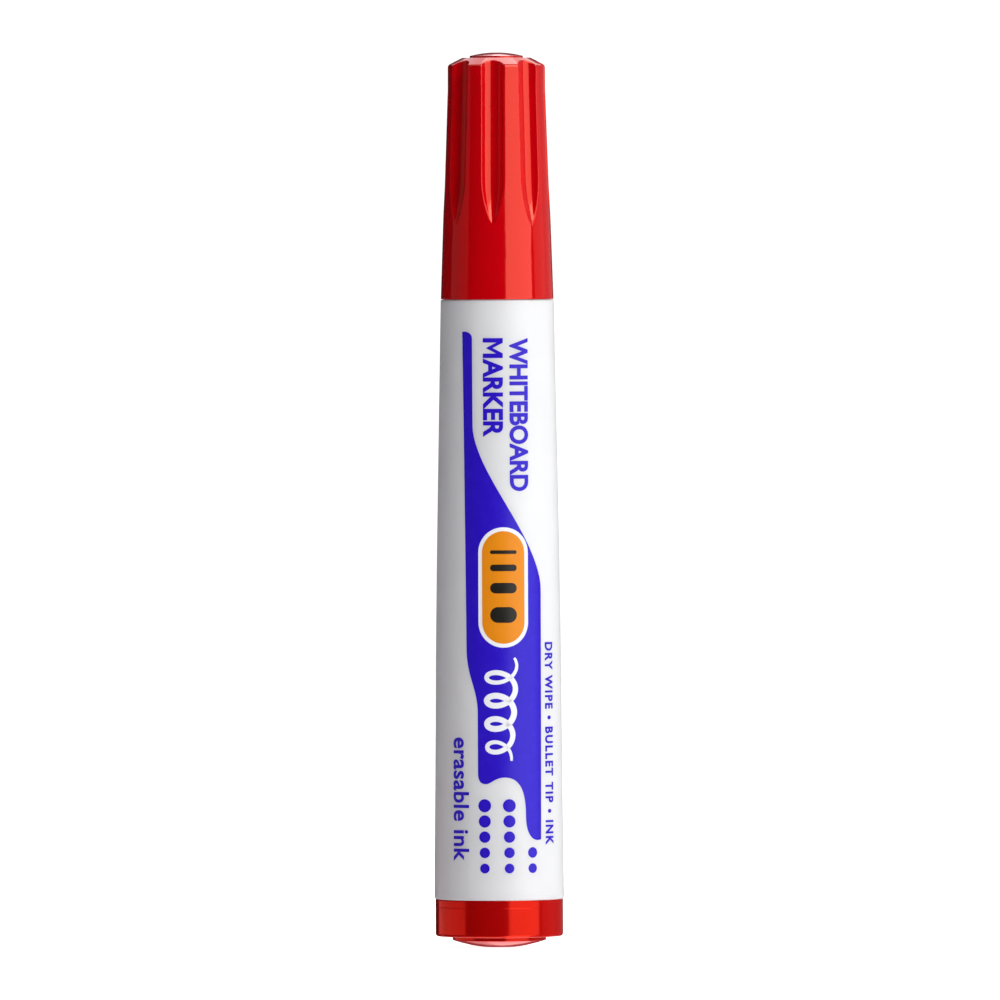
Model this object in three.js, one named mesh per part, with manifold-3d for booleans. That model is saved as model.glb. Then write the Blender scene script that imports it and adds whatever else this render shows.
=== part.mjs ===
// Whiteboard marker with a bullet nib: a tapered barrel with a neck and nose moulded on its front end,
// a fibre nib, an ink reservoir in its film sleeve, an end plug, and a fluted pull-off cap with a sealing
// liner. Millimetres. +Z runs along the marker from the end plug to the cap's crown, and z = 0 is the
// lowest point of the plug. Each piece is drawn with its own lower end at z = 0 and then put in place.
import * as THREE from 'three';
import { mergeVertices } from 'three/addons/utils/BufferGeometryUtils.js';
import Module from 'manifold-3d';

const wasm = await Module();
wasm.setup();

// ---- Lengths along the marker ----
const PLUG_HEAD_HEIGHT = 7.35; // from the plug's lowest point to the barrel's rear rim
const BARREL_LENGTH = 91.6; // from the rear rim to the shoulder that the cap comes down to
const CAP_GAP = 0.3; // between that shoulder and the cap's rim
const CAP_LENGTH = 37.75; // from the cap's rim to the top of its crown

// ---- Barrel ----
const BARREL_REAR_RADIUS = 9.93;
const BARREL_WAIST_RADIUS = 9.46; // where the two tapers would meet
const BARREL_WAIST_HEIGHT = 48.5; // above the rear rim
const BARREL_FRONT_RADIUS = 8.65;
const BARREL_BEND_LENGTH = 24; // the tapers blend into each other over this length
const BARREL_WALL = 1.2;
const BARREL_EDGE_ROUND = 0.3;
const SOCKET_WALL = 1.05; // around the plug's skirt
const SHOULDER_WALL = 1.3; // behind the shoulder, where the reservoir stops
const NECK_WALL = 1.1;
const NECK_BEAD_HEIGHT = 0.15; // the ring round the neck that the cap's skirt grips
const NECK_BEAD_WIDTH = 1.4;
const NOSE_SHOULDER_HEIGHT = 1.6; // cone between the neck and the nose
const NOSE_LAND_LENGTH = 6; // straight part that the liner seals on
const NOSE_TAPER_LENGTH = 3.5;
const NOSE_TIP_WALL = 1; // around the nib at the nose's end
const NOSE_GRIP_LENGTH = 8.5; // length of the hole that grips the nib
const NOSE_LEAD_LENGTH = 3; // cone that leads the nib into that hole
const VENT_WIDTH = 0.8; // air grooves along the nib's hole
const VENT_DEPTH = 0.5;

// ---- Nib ----
const NIB_RADIUS = 2.4;
const NIB_PROJECTION = 7.5; // out of the nose
const NIB_POINT_RADIUS = 1.2; // rounding of the bullet point
const NIB_POINT_SLOPE = 16; // degrees between the point's cone and the axis
const NIB_TAIL_BEVEL = 0.5;
const NIB_SEAT_DEPTH = 8; // how far the nib's tail goes into the reservoir

// ---- Reservoir ----
const FILM_THICKNESS = 0.2;

// ---- End plug ----
const PLUG_INSET = 0.16; // how far the plug's wall lies inside the barrel's
const PLUG_CORNER_ROUND = 0.42;
const PLUG_BOSS_RADIUS = 7.15;
const PLUG_BOSS_SIDE = 0.6; // straight side of the raised boss under the plug
const PLUG_DOME_HEIGHT = 1.04; // of the boss's crown
const PLUG_FLAT_RADIUS = 2.5; // flat in the middle of that crown
const PLUG_FLOOR = 1.2;
const PLUG_SKIRT_LENGTH = 9; // inside the barrel
const PLUG_SKIRT_WALL = 1.1;
const PLUG_SKIRT_BEVEL = 0.6;
const PLUG_RIB_THICKNESS = 1;

// ---- Cap ----
const CAP_INSET = 0.02; // how far the cap's rim lies inside the barrel's front
const CAP_TAPER = 1.03; // radius lost from the rim to the end of the taper
const CAP_STRAIGHT_TAPER = 0.045; // radius lost along the straighter part above it
const CAP_STRAIGHT_LENGTH = 4.45;
const CAP_EDGE_ROUND = 0.25; // around the rim
const CAP_CORNER_ROUND = 0.6; // around the top of the wall
const CAP_SKIRT_WALL = 1.05;
const CROWN_SLOPE = 25.7; // degrees from level, inside the rounded corner
const CROWN_RING_RADIUS = 5.2; // where that slope meets the flat ring
const CROWN_DISC_RADIUS = 4.07;
const CROWN_DISC_SIDE = 0.28; // straight side of the raised disc
const CROWN_DISC_RISE = 0.52; // of the disc's domed top
const CROWN_THICKNESS = 2.2; // from the roof inside to the crown's top
const FLUTE_COUNT = 8;
const FLUTE_FIRST_ANGLE = -4.5; // degrees from +X
const FLUTE_WIDTH = 3.35;
const FLUTE_DEPTH = 1.3;
const FLUTE_ABOVE_NECK = 1.15; // from the neck's top to the flutes' pointed ends
const FLUTE_POINT_LENGTH = 7.6; // from that end to where a flute reaches its full width
const FLUTE_WALL = 0.3; // least wall behind a flute, where the liner backs it

// ---- Liner ----
const LINER_WALL = 0.8;
const LINER_ROOF = 0.9;
const LINER_FOOT_GAP = 0.2; // from the start of the cap's narrow bore to the liner's open end
const NIB_HEADROOM = 6; // from the nib's point to the liner's roof

// ---- Clearances ----
const NECK_CLEARANCE = 0.3; // cap's skirt over the neck
const NOSE_CLEARANCE = 0.1; // liner over the nose
const LINER_CLEARANCE = 0.05; // liner in the cap
const LINER_SEAT_GAP = 0.1; // liner's roof under the cap's roof
const NIB_CLEARANCE = 0.1; // nib in the nose and in the reservoir
const FILM_CLEARANCE = 0.15; // film in the barrel
const CORE_CLEARANCE = 0.02; // fibre core in the film
const PLUG_CLEARANCE = 0.06; // plug's skirt in the barrel
const RESERVOIR_END_GAP = 0.1; // at each end of the reservoir

const SEGMENTS = 48; // around the axis
const FLUTE_SEGMENTS = 24; // around a flute's cutter
const FLUTE_POINT_STEPS = 6; // along a flute's pointed end
const BARREL_STEPS = 9; // along the barrel's wall
const EDGE_STEPS = 3; // around a rounded edge
const NIB_POINT_STEPS = 4; // around the nib's point
const BOSS_DOME_STEPS = 5; // across the domed tops
const DISC_DOME_STEPS = 4;
const MERGE_TOLERANCE = 1e-4;

// ---- Stations and radii that follow from the sizes above ----
const seamZ = PLUG_HEAD_HEIGHT;
const shoulderZ = seamZ + BARREL_LENGTH;
const rimZ = shoulderZ + CAP_GAP;
const roofZ = rimZ + CAP_LENGTH - CROWN_THICKNESS;
const linerRoofZ = roofZ - LINER_SEAT_GAP - LINER_ROOF;
const nibPointZ = linerRoofZ - NIB_HEADROOM;
const noseEndZ = nibPointZ - NIB_PROJECTION;
const noseTaperZ = noseEndZ - NOSE_TAPER_LENGTH;
const noseBaseZ = noseTaperZ - NOSE_LAND_LENGTH;
const neckTopZ = noseBaseZ - NOSE_SHOULDER_HEIGHT;
const plugTopZ = seamZ + PLUG_SKIRT_LENGTH;
const reservoirStopZ = shoulderZ - SHOULDER_WALL;
const reservoirZ = plugTopZ + RESERVOIR_END_GAP;
const reservoirLength = reservoirStopZ - RESERVOIR_END_GAP - reservoirZ;
const nibTailZ = reservoirZ + reservoirLength - NIB_SEAT_DEPTH + RESERVOIR_END_GAP;

const capRimRadius = BARREL_FRONT_RADIUS - CAP_INSET;
const capTopRadius = capRimRadius - CAP_TAPER - CAP_STRAIGHT_TAPER;
const skirtBore = capRimRadius - CAP_SKIRT_WALL;
const neckRadius = skirtBore - NECK_CLEARANCE;
const neckBore = neckRadius - NECK_WALL;
const nibHole = NIB_RADIUS + NIB_CLEARANCE;
const frontBore = BARREL_FRONT_RADIUS - BARREL_WALL;
const rearBore = BARREL_REAR_RADIUS - BARREL_WALL;
const socketRadius = BARREL_REAR_RADIUS - SOCKET_WALL;
const plugRadius = BARREL_REAR_RADIUS - PLUG_INSET;
const filmRadius = Math.min(frontBore, rearBore) - FILM_CLEARANCE;
const coreRadius = filmRadius - FILM_THICKNESS - CORE_CLEARANCE;

// Heights in the cap, from its rim. The rounded corner touches both the wall and the crown's slope.
const ringHeight = CAP_LENGTH - CROWN_DISC_RISE - CROWN_DISC_SIDE;
const slopeAngle = THREE.MathUtils.degToRad(CROWN_SLOPE);
const cornerRadius = capTopRadius - CAP_CORNER_ROUND;
const slopeFootRadius = cornerRadius + CAP_CORNER_ROUND * Math.sin(slopeAngle);
const slopeFootHeight = ringHeight - (slopeFootRadius - CROWN_RING_RADIUS) * Math.tan(slopeAngle);
const cornerHeight = slopeFootHeight - CAP_CORNER_ROUND * Math.cos(slopeAngle);
const taperHeight = cornerHeight - CAP_STRAIGHT_LENGTH;
const capTaper = CAP_TAPER / taperHeight;
const capRadius = (height) => capRimRadius - capTaper * height;
const stepTopHeight = noseBaseZ + NECK_CLEARANCE - rimZ;
const linerFootHeight = stepTopHeight + LINER_FOOT_GAP;

const capBore = capRadius(cornerHeight) - FLUTE_DEPTH - FLUTE_WALL;
const linerRadius = capBore - LINER_CLEARANCE;
const linerBore = linerRadius - LINER_WALL;
const noseRadius = linerBore - NOSE_CLEARANCE;

// ---- Outline helpers: points are [radius, height] ----

// Points of an arc; angles are in degrees from the outward direction towards +Z.
function arc(radius, height, size, from, to, steps) {
  const points = [];
  for (let i = 0; i <= steps; i += 1) {
    const angle = THREE.MathUtils.degToRad(from + ((to - from) * i) / steps);
    points.push([radius + size * Math.cos(angle), height + size * Math.sin(angle)]);
  }
  return points;
}

// A crown that rises by `rise` from `edge` at its rim to a flat of radius `flat`.
function crown(edge, flat, height, rise, steps) {
  const points = [];
  for (let i = 0; i <= steps; i += 1) {
    const r = edge + ((flat - edge) * i) / steps;
    const drop = (r * r - flat * flat) / (edge * edge - flat * flat);
    points.push([r, height + rise * (1 - drop)]);
  }
  return points;
}

// The solid of revolution of an outline that runs up its outside.
function revolve(points, segments = SEGMENTS) {
  const outline = points.map(([r, z]) => new THREE.Vector2(r, z));
  return new THREE.LatheGeometry(outline, segments).rotateX(Math.PI / 2);
}

// ---- Boolean helpers ----

function solidFrom(geometry) {
  const bare = geometry.clone();
  bare.deleteAttribute('normal');
  bare.deleteAttribute('uv');
  const merged = mergeVertices(bare, MERGE_TOLERANCE);
  const index = merged.index.array;
  const triangles = [];
  for (let i = 0; i < index.length; i += 3) {
    const [a, b, c] = [index[i], index[i + 1], index[i + 2]];
    if (a !== b && b !== c && c !== a) triangles.push(a, b, c);
  }
  return new wasm.Manifold(
    new wasm.Mesh({
      numProp: 3,
      vertProperties: merged.attributes.position.array,
      triVerts: Uint32Array.from(triangles),
    }),
  );
}

function geometryFrom(solid) {
  const { vertProperties, triVerts } = solid.getMesh();
  const geometry = new THREE.BufferGeometry();
  geometry.setAttribute('position', new THREE.BufferAttribute(vertProperties, 3));
  geometry.setIndex(new THREE.BufferAttribute(triVerts, 1));
  return geometry;
}

// ---- Pieces ----

// Outer radius of the barrel at a height above its rear rim: two tapers with a smooth bend between.
function barrelRadius(height) {
  const rearTaper = (BARREL_REAR_RADIUS - BARREL_WAIST_RADIUS) / BARREL_WAIST_HEIGHT;
  const frontTaper = (BARREL_WAIST_RADIUS - BARREL_FRONT_RADIUS) / (BARREL_LENGTH - BARREL_WAIST_HEIGHT);
  const past = height - BARREL_WAIST_HEIGHT;
  const half = BARREL_BEND_LENGTH / 2;
  const bend = Math.abs(past) < half ? (past + half) ** 2 / (4 * half) : Math.max(past, 0);
  return BARREL_REAR_RADIUS - rearTaper * height - (frontTaper - rearTaper) * bend;
}

function barrelOutside() {
  const points = [];
  const round = BARREL_EDGE_ROUND;
  for (let i = 0; i <= BARREL_STEPS; i += 1) {
    const height = round + ((BARREL_LENGTH - 2 * round) * i) / BARREL_STEPS;
    points.push([barrelRadius(height), height]);
  }
  const [frontRadius, frontHeight] = points[BARREL_STEPS];
  return [
    ...arc(points[0][0] - round, round, round, -90, -22.5, EDGE_STEPS),
    ...points,
    ...arc(frontRadius - round, frontHeight, round, 22.5, 90, EDGE_STEPS),
  ];
}

function neckBead() {
  const middle = (shoulderZ + neckTopZ) / 2 - seamZ;
  return [
    [neckRadius, middle - NECK_BEAD_WIDTH / 2],
    [neckRadius + NECK_BEAD_HEIGHT, middle],
    [neckRadius, middle + NECK_BEAD_WIDTH / 2],
  ];
}

function barrel() {
  const noseEnd = noseEndZ - seamZ;
  const gripStart = noseEnd - NOSE_GRIP_LENGTH;
  const leadStart = gripStart - NOSE_LEAD_LENGTH;
  const stop = reservoirStopZ - seamZ;
  const body = solidFrom(
    revolve([
      [socketRadius, 0],
      ...barrelOutside(),
      [neckRadius, BARREL_LENGTH],
      ...neckBead(),
      [neckRadius, neckTopZ - seamZ],
      [noseRadius, noseBaseZ - seamZ],
      [noseRadius, noseTaperZ - seamZ],
      [nibHole + NOSE_TIP_WALL, noseEnd],
      [nibHole, noseEnd],
      [nibHole, gripStart],
      [neckBore, leadStart],
      [neckBore, stop],
      [frontBore, stop],
      [rearBore, PLUG_SKIRT_LENGTH + SOCKET_WALL],
      [socketRadius, PLUG_SKIRT_LENGTH + RESERVOIR_END_GAP],
      [socketRadius, 0],
    ]),
  );
  const ventSpan = 2 * (nibHole + VENT_DEPTH);
  const ventLength = noseEnd - leadStart + 1;
  const vents = [0, 90].map((angle) =>
    solidFrom(
      new THREE.BoxGeometry(ventSpan, VENT_WIDTH, ventLength)
        .translate(0, 0, leadStart + ventLength / 2)
        .rotateZ(THREE.MathUtils.degToRad(angle)),
    ),
  );
  return geometryFrom(body.subtract(vents[0]).subtract(vents[1]));
}

function nib() {
  const length = nibPointZ - nibTailZ;
  const pointZ = length - NIB_POINT_RADIUS;
  const slope = THREE.MathUtils.degToRad(NIB_POINT_SLOPE);
  const coneTop = pointZ + NIB_POINT_RADIUS * Math.sin(slope);
  const coneHeight = (NIB_RADIUS - NIB_POINT_RADIUS * Math.cos(slope)) / Math.tan(slope);
  return revolve([
    [0, 0],
    [NIB_RADIUS - NIB_TAIL_BEVEL, 0],
    [NIB_RADIUS, NIB_TAIL_BEVEL],
    [NIB_RADIUS, coneTop - coneHeight],
    ...arc(0, pointZ, NIB_POINT_RADIUS, NIB_POINT_SLOPE, 80, NIB_POINT_STEPS),
    [0, length],
  ]);
}

function reservoirCore() {
  const seatFloor = reservoirLength - NIB_SEAT_DEPTH;
  return revolve([
    [0, 0],
    [coreRadius, 0],
    [coreRadius, reservoirLength],
    [nibHole, reservoirLength],
    [nibHole, seatFloor],
    [0, seatFloor],
  ]);
}

function reservoirFilm() {
  const inside = filmRadius - FILM_THICKNESS;
  return revolve([
    [inside, 0],
    [filmRadius, 0],
    [filmRadius, reservoirLength],
    [inside, reservoirLength],
    [inside, 0],
  ]);
}

function endPlug() {
  const underside = PLUG_DOME_HEIGHT + PLUG_BOSS_SIDE;
  const floor = underside + PLUG_FLOOR;
  const skirtRadius = socketRadius - PLUG_CLEARANCE;
  const hollow = skirtRadius - PLUG_SKIRT_WALL;
  const crownUpsideDown = crown(PLUG_BOSS_RADIUS, PLUG_FLAT_RADIUS, 0, PLUG_DOME_HEIGHT, BOSS_DOME_STEPS);
  const cornerZ = underside + PLUG_CORNER_ROUND;
  const shell = solidFrom(
    revolve([
      [0, 0],
      ...crownUpsideDown.map(([r, z]) => [r, PLUG_DOME_HEIGHT - z]).reverse(),
      [PLUG_BOSS_RADIUS, underside],
      ...arc(plugRadius - PLUG_CORNER_ROUND, cornerZ, PLUG_CORNER_ROUND, -90, 0, EDGE_STEPS),
      [plugRadius, seamZ],
      [skirtRadius, seamZ],
      [skirtRadius, plugTopZ - PLUG_SKIRT_BEVEL],
      [skirtRadius - PLUG_SKIRT_BEVEL / 2, plugTopZ],
      [hollow, plugTopZ],
      [hollow, floor],
      [0, floor],
    ]),
  );
  const ribBottom = floor - PLUG_FLOOR / 2;
  const ribHeight = plugTopZ - ribBottom;
  const ribSpan = 2 * hollow + PLUG_SKIRT_WALL;
  const ribs = [0, 90].map((angle) =>
    solidFrom(
      new THREE.BoxGeometry(ribSpan, PLUG_RIB_THICKNESS, ribHeight)
        .translate(0, 0, ribBottom + ribHeight / 2)
        .rotateZ(THREE.MathUtils.degToRad(angle)),
    ),
  );
  return geometryFrom(shell.add(ribs[0]).add(ribs[1]));
}

// One flute's cutter: a rod along the cap's taper whose lower end narrows to a point. The flute's half
// width at each height is chosen first, and the rod's radius there is what cuts that width.
function fluteCutter(angle) {
  const halfWidth = FLUTE_WIDTH / 2;
  const full = neckTopZ + FLUTE_ABOVE_NECK + FLUTE_POINT_LENGTH - rimZ;
  const surface = capRadius(full);
  const surfaceDrop = (width) => surface - Math.sqrt(surface ** 2 - width ** 2);
  const chordDepth = FLUTE_DEPTH - surfaceDrop(halfWidth);
  const rodRadius = (halfWidth ** 2 + chordDepth ** 2) / (2 * chordDepth);
  const axisOutside = rodRadius - FLUTE_DEPTH;
  const points = [[0, -FLUTE_POINT_LENGTH - axisOutside]];
  for (let i = 0; i <= FLUTE_POINT_STEPS; i += 1) {
    const below = 1 - i / FLUTE_POINT_STEPS;
    const width = halfWidth * (1 - below ** 2);
    points.push([Math.hypot(axisOutside + surfaceDrop(width), width), -FLUTE_POINT_LENGTH * below]);
  }
  const top = CAP_LENGTH - full;
  points.push([rodRadius, top], [0, top]);
  const rod = revolve(points, FLUTE_SEGMENTS)
    .rotateY(-Math.atan(capTaper))
    .translate(surface + axisOutside, 0, full)
    .rotateZ(THREE.MathUtils.degToRad(angle));
  return solidFrom(rod);
}

function capShell() {
  const roof = roofZ - rimZ;
  const stepBottomHeight = stepTopHeight - NOSE_SHOULDER_HEIGHT;
  const discTop = ringHeight + CROWN_DISC_SIDE;
  let shell = solidFrom(
    revolve([
      [0, roof],
      [capBore, roof],
      [capBore, stepTopHeight],
      [skirtBore, stepBottomHeight],
      [skirtBore, 0],
      ...arc(capRimRadius - CAP_EDGE_ROUND, CAP_EDGE_ROUND, CAP_EDGE_ROUND, -90, 0, EDGE_STEPS),
      [capRimRadius - CAP_TAPER, taperHeight],
      ...arc(cornerRadius, cornerHeight, CAP_CORNER_ROUND, 0, 90 - CROWN_SLOPE, EDGE_STEPS),
      [CROWN_RING_RADIUS, ringHeight],
      [CROWN_DISC_RADIUS, ringHeight],
      ...crown(CROWN_DISC_RADIUS, 0, discTop, CROWN_DISC_RISE, DISC_DOME_STEPS),
    ]),
  );
  for (let i = 0; i < FLUTE_COUNT; i += 1) {
    shell = shell.subtract(fluteCutter(FLUTE_FIRST_ANGLE + (360 * i) / FLUTE_COUNT));
  }
  return geometryFrom(shell);
}

function capLiner() {
  const inside = linerRoofZ - rimZ - linerFootHeight;
  return revolve([
    [0, inside],
    [linerBore, inside],
    [linerBore, 0],
    [linerRadius, 0],
    [linerRadius, inside + LINER_ROOF],
    [0, inside + LINER_ROOF],
  ]);
}

// ---- Assembly ----

// A named piece whose lower end lies at `height`.
function piece(name, geometry, height, color, roughness) {
  const material = new THREE.MeshStandardMaterial({ color, roughness, metalness: 0 });
  const mesh = new THREE.Mesh(geometry, material);
  mesh.name = name;
  mesh.position.z = height;
  return mesh;
}

const CAP_RED = 0xc4000f;
const PLUG_RED = 0xc80a0a;
const INK_RED = 0xa3101c;
const WHITE = 0xf2f2f2;

const body = new THREE.Group();
body.add(
  piece('barrel', barrel(), seamZ, WHITE, 0.3),
  piece('nib', nib(), nibTailZ, INK_RED, 0.9),
  piece('reservoir_core', reservoirCore(), reservoirZ, INK_RED, 0.95),
  piece('reservoir_film', reservoirFilm(), reservoirZ, WHITE, 0.25),
  piece('end_plug', endPlug(), 0, PLUG_RED, 0.25),
);

const cap = new THREE.Group();
cap.position.z = rimZ;
cap.add(
  piece('cap_shell', capShell(), 0, CAP_RED, 0.2),
  piece('cap_liner', capLiner(), linerFootHeight, WHITE, 0.4),
);

const marker = new THREE.Group();
marker.add(body, cap);

export default marker;
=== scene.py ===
# Looks for a capped whiteboard marker, built round its packed frame and laid out as a Blender add-on.
# Lengths are in metres, and +Z runs along the marker from its end plug to the cap's crown.
import math

import bmesh
import bpy
import numpy as np
from mathutils import Matrix, Vector


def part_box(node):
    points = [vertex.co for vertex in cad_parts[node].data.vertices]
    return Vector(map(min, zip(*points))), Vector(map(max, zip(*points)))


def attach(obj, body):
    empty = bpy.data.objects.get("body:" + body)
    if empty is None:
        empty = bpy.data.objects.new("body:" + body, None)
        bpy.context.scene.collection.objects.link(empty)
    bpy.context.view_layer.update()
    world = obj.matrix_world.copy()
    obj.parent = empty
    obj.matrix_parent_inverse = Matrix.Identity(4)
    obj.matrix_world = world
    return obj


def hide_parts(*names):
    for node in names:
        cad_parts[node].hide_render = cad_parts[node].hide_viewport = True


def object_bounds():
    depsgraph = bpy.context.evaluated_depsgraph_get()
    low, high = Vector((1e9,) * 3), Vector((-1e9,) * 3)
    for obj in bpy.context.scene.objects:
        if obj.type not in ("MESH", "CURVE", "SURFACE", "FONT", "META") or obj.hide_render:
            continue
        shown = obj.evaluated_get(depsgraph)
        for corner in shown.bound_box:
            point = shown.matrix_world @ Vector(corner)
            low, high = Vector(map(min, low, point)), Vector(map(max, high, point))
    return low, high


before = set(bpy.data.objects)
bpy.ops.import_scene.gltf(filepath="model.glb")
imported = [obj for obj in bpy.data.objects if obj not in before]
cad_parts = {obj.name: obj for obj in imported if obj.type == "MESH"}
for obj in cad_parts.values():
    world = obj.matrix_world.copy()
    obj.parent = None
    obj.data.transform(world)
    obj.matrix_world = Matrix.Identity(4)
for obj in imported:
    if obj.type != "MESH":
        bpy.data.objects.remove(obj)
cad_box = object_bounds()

bl_info = {
    "name": "Whiteboard marker",
    "version": (1, 0, 0),
    "blender": (4, 5, 0),
    "location": "View3D > Sidebar > Marker",
    "description": "Builds the barrel, nib, reservoir, end plug, cap, liner and print of a marker",
    "category": "Object",
}

MM = 0.001

# ---- Where the frame puts each piece: lowest and highest corners ----
BARREL_LOW, BARREL_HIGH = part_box("barrel")
NIB_LOW, NIB_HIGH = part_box("nib")
CORE_LOW, CORE_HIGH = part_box("reservoir_core")
FILM_LOW, FILM_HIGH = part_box("reservoir_film")
PLUG_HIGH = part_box("end_plug")[1]
CAP_LOW, CAP_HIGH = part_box("cap_shell")
LINER_LOW, LINER_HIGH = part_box("cap_liner")

# ---- Fixed heights and radii inside the marker ----
SEAM_GAP = 0.05 * MM  # between the barrel's shoulder and the cap's rim
SHOULDER_Z = CAP_LOW.z - SEAM_GAP
SEAM_Z = BARREL_LOW.z
SOCKET_RADIUS = 8.88 * MM
SOCKET_TOP_Z = SEAM_Z + 9.1 * MM
SOCKET_CONE_Z = SEAM_Z + 10.05 * MM
REAR_BORE = 8.73 * MM
FRONT_BORE = 7.45 * MM
RESERVOIR_STOP_Z = CAP_LOW.z - 1.6 * MM
NECK_BORE = 6.18 * MM
NECK_TOP_Z = 109.2 * MM
NOSE_BASE_Z = 110.8 * MM
NOSE_TAPER_Z = 116.8 * MM
NOSE_TIP_RADIUS = 3.5 * MM
NIB_HOLE = 2.5 * MM
NIB_GRIP_Z = BARREL_HIGH.z - 8.5 * MM
NIB_LEAD_Z = NIB_GRIP_Z - 3 * MM
NIB_SEAT_DEPTH = 8 * MM
VENT_FOOT_Z = BARREL_HIGH.z - 12 * MM  # the vents run from here to the nose's tip
CAP_STEP_Z = 111.1 * MM
CAP_STEP_RISE = 1.6 * MM
CAP_ROOF_Z = CAP_HIGH.z - 2.2 * MM
CAP_BORE = 5.852 * MM
SKIRT_BORE = 7.58 * MM
PLUG_SKIRT_WALL = 1.1 * MM
PLUG_FLOOR_Z = 2.84 * MM
LINER_BORE = 5.002 * MM
LINER_ROOF = 0.9 * MM

SIDES = 184  # columns round a turned piece
HOLD = 0.05 * MM  # distance from a rounded edge to the row that holds the face beside it flat
WELD = 2e-6  # rows and sectors closer than this are one
SMOOTH_LIMIT = math.radians(50)
ROUND_STEPS = 5  # rows round a softened corner
DOME_STEPS = 20  # rows across the plug's crown
DISC_STEPS = 14  # rows across the disc on the cap
POINT_STEPS = 12  # rows round the nib's point
SHOULDER_STEPS = 8  # rows round the cap's upper corner
SLOPE_STEPS = 12  # rows down the slope inside that corner
HALVINGS = 36  # rounds of the search for a flute's surface
DEEPEST_CUT = 2 * MM  # where that search starts
PRINT_CUT = 0.4 * MM  # a flat print is cut this finely before it is laid on the barrel
PRINT_CUT_LONG = 4 * MM  # the same along the barrel, which is nearly straight

# ---- Print: tables hold millimetres, right of the front's middle and up from the plug's foot ----
# Piece, words, added weight, letter spacing, baseline, top and length of a line, and its height's name
LINES = (
    ("print_title", "WHITEBOARD", 0.034, 1.0, 1.8, 93.35, 23.4, "title_height"),
    ("print_subtitle", "MARKER", 0.034, 1.0, -2.25, 93.35, 15.1, "title_height"),
    ("print_note_right", "DRY WIPE • BULLET TIP • INK", 0.036, 1.25, 7.95, 46.8, 31, "note_height"),
    ("print_note_left", "erasable ink", 0.022, 1.05, -7.7, 32.3, 18.9, "script_height"),
)
BADGE_MIDDLE = (0.82 * MM, 55.25 * MM)
BAR_WIDTH = 4.1 * MM
# Name of a bar on the badge, height above the badge's middle, and thickness
BARS = (("fine", 5.4, 0.55), ("medium", 3.0, 1.0), ("bold", -0.1, 1.6), ("broad", -4.2, 2.4))
BORDER_LIFT, BADGE_LIFT, BAR_LIFT = 1.6, 2.2, 2.8  # layers of ink, in heights of the first
DOT_PITCH, DOT_FALL = 3.8 * MM, 2.4 * MM
DOTS_MIDDLE = Vector((1.6 * MM, 17.1 * MM, 0))

# ---- Studio: angles are degrees round from the camera, and tints are red, green and blue ----
WHITE_LIGHT, ROSE_LIGHT = (1, 1, 1), (1, 0.5, 0.45)
COOL_LIGHT, COLD_LIGHT = (0.9, 0.93, 1), (0.85, 0.9, 1)
# Name, first angle, last angle, radiance and tint of the tall panels that the walls mirror
PANELS = (
    ("key panel", 17.8, 76.6, 1.6, WHITE_LIGHT),
    ("right panel", 84, 118, 0.34, WHITE_LIGHT),
    ("far right panel", 118, 158, 0.2, WHITE_LIGHT),
    ("left panel", -63, -110, 0.13, COOL_LIGHT),
)
# Name, angle, rise, radiance from above and from below, and tint of each pair of slanting lights
SLANTS = (
    ("right light", 42, 48, 2.95, 2.95, WHITE_LIGHT),
    ("left light", -100, 55, 0.06, 0.06, COLD_LIGHT),
    ("back light", 180, 38, 0.18, 0.05, WHITE_LIGHT),
    ("back right light", 160, 45, 1.1, 1.1, WHITE_LIGHT),
    ("back left light", -165, 45, 1.1, 1.1, COOL_LIGHT),
)
FLOOR_Z = -0.05 * MM  # just under the plug
CAMERA_AWAY = 3.3
CAMERA_LENS = 775.4
CAMERA_RISE = math.radians(1.05)
CAMERA_ROLL = math.radians(-0.2035)
CAMERA_AIM = (0.326 * MM, 0, -0.05 * MM)  # from the middle of the marker


# ---- Sizes and colours that a user would change ----

def length(name, description, millimetres):
    return bpy.props.FloatProperty(
        name=name, description=description, default=millimetres * MM, min=0, precision=5,
        subtype="DISTANCE", unit="LENGTH",
    )


def angle(name, description, degrees):
    return bpy.props.FloatProperty(
        name=name, description=description, default=math.radians(degrees),
        subtype="ANGLE", unit="ROTATION",
    )


def colour(name, description, red, green, blue):
    return bpy.props.FloatVectorProperty(
        name=name, description=description, default=(red, green, blue),
        min=0, max=1, size=3, subtype="COLOR",
    )


def count(name, description, value):
    return bpy.props.IntProperty(name=name, description=description, default=value, min=1)


class BarrelSizes(bpy.types.PropertyGroup):
    """Sizes of the barrel."""
    rear_radius: length("Rear radius", "Radius at the rear rim", 9.93)
    waist_radius: length("Waist radius", "Radius where the two tapers would meet", 9.46)
    waist_height: length("Waist height", "Height of that place above the rear rim", 48.5)
    front_radius: length("Front radius", "Radius at the shoulder under the cap", 8.65)
    bend_length: length("Bend length", "Length over which the tapers blend", 24)
    edge_round: length("Edge rounding", "Rounding of the outer rims", 0.3)
    neck_radius: length("Neck radius", "Radius of the neck under the cap", 7.28)
    bead_rise: length("Bead rise", "Rise of the ring that the cap grips", 0.15)
    bead_width: length("Bead width", "Width of that ring", 1.4)
    nose_radius: length("Nose radius", "Radius that the liner seals on", 4.902)
    vent_count: count("Vents", "Air grooves round the nib", 4)
    vent_width: length("Vent width", "Width of one air groove", 0.8)
    vent_depth: length("Vent depth", "Depth of one air groove", 0.5)


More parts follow.
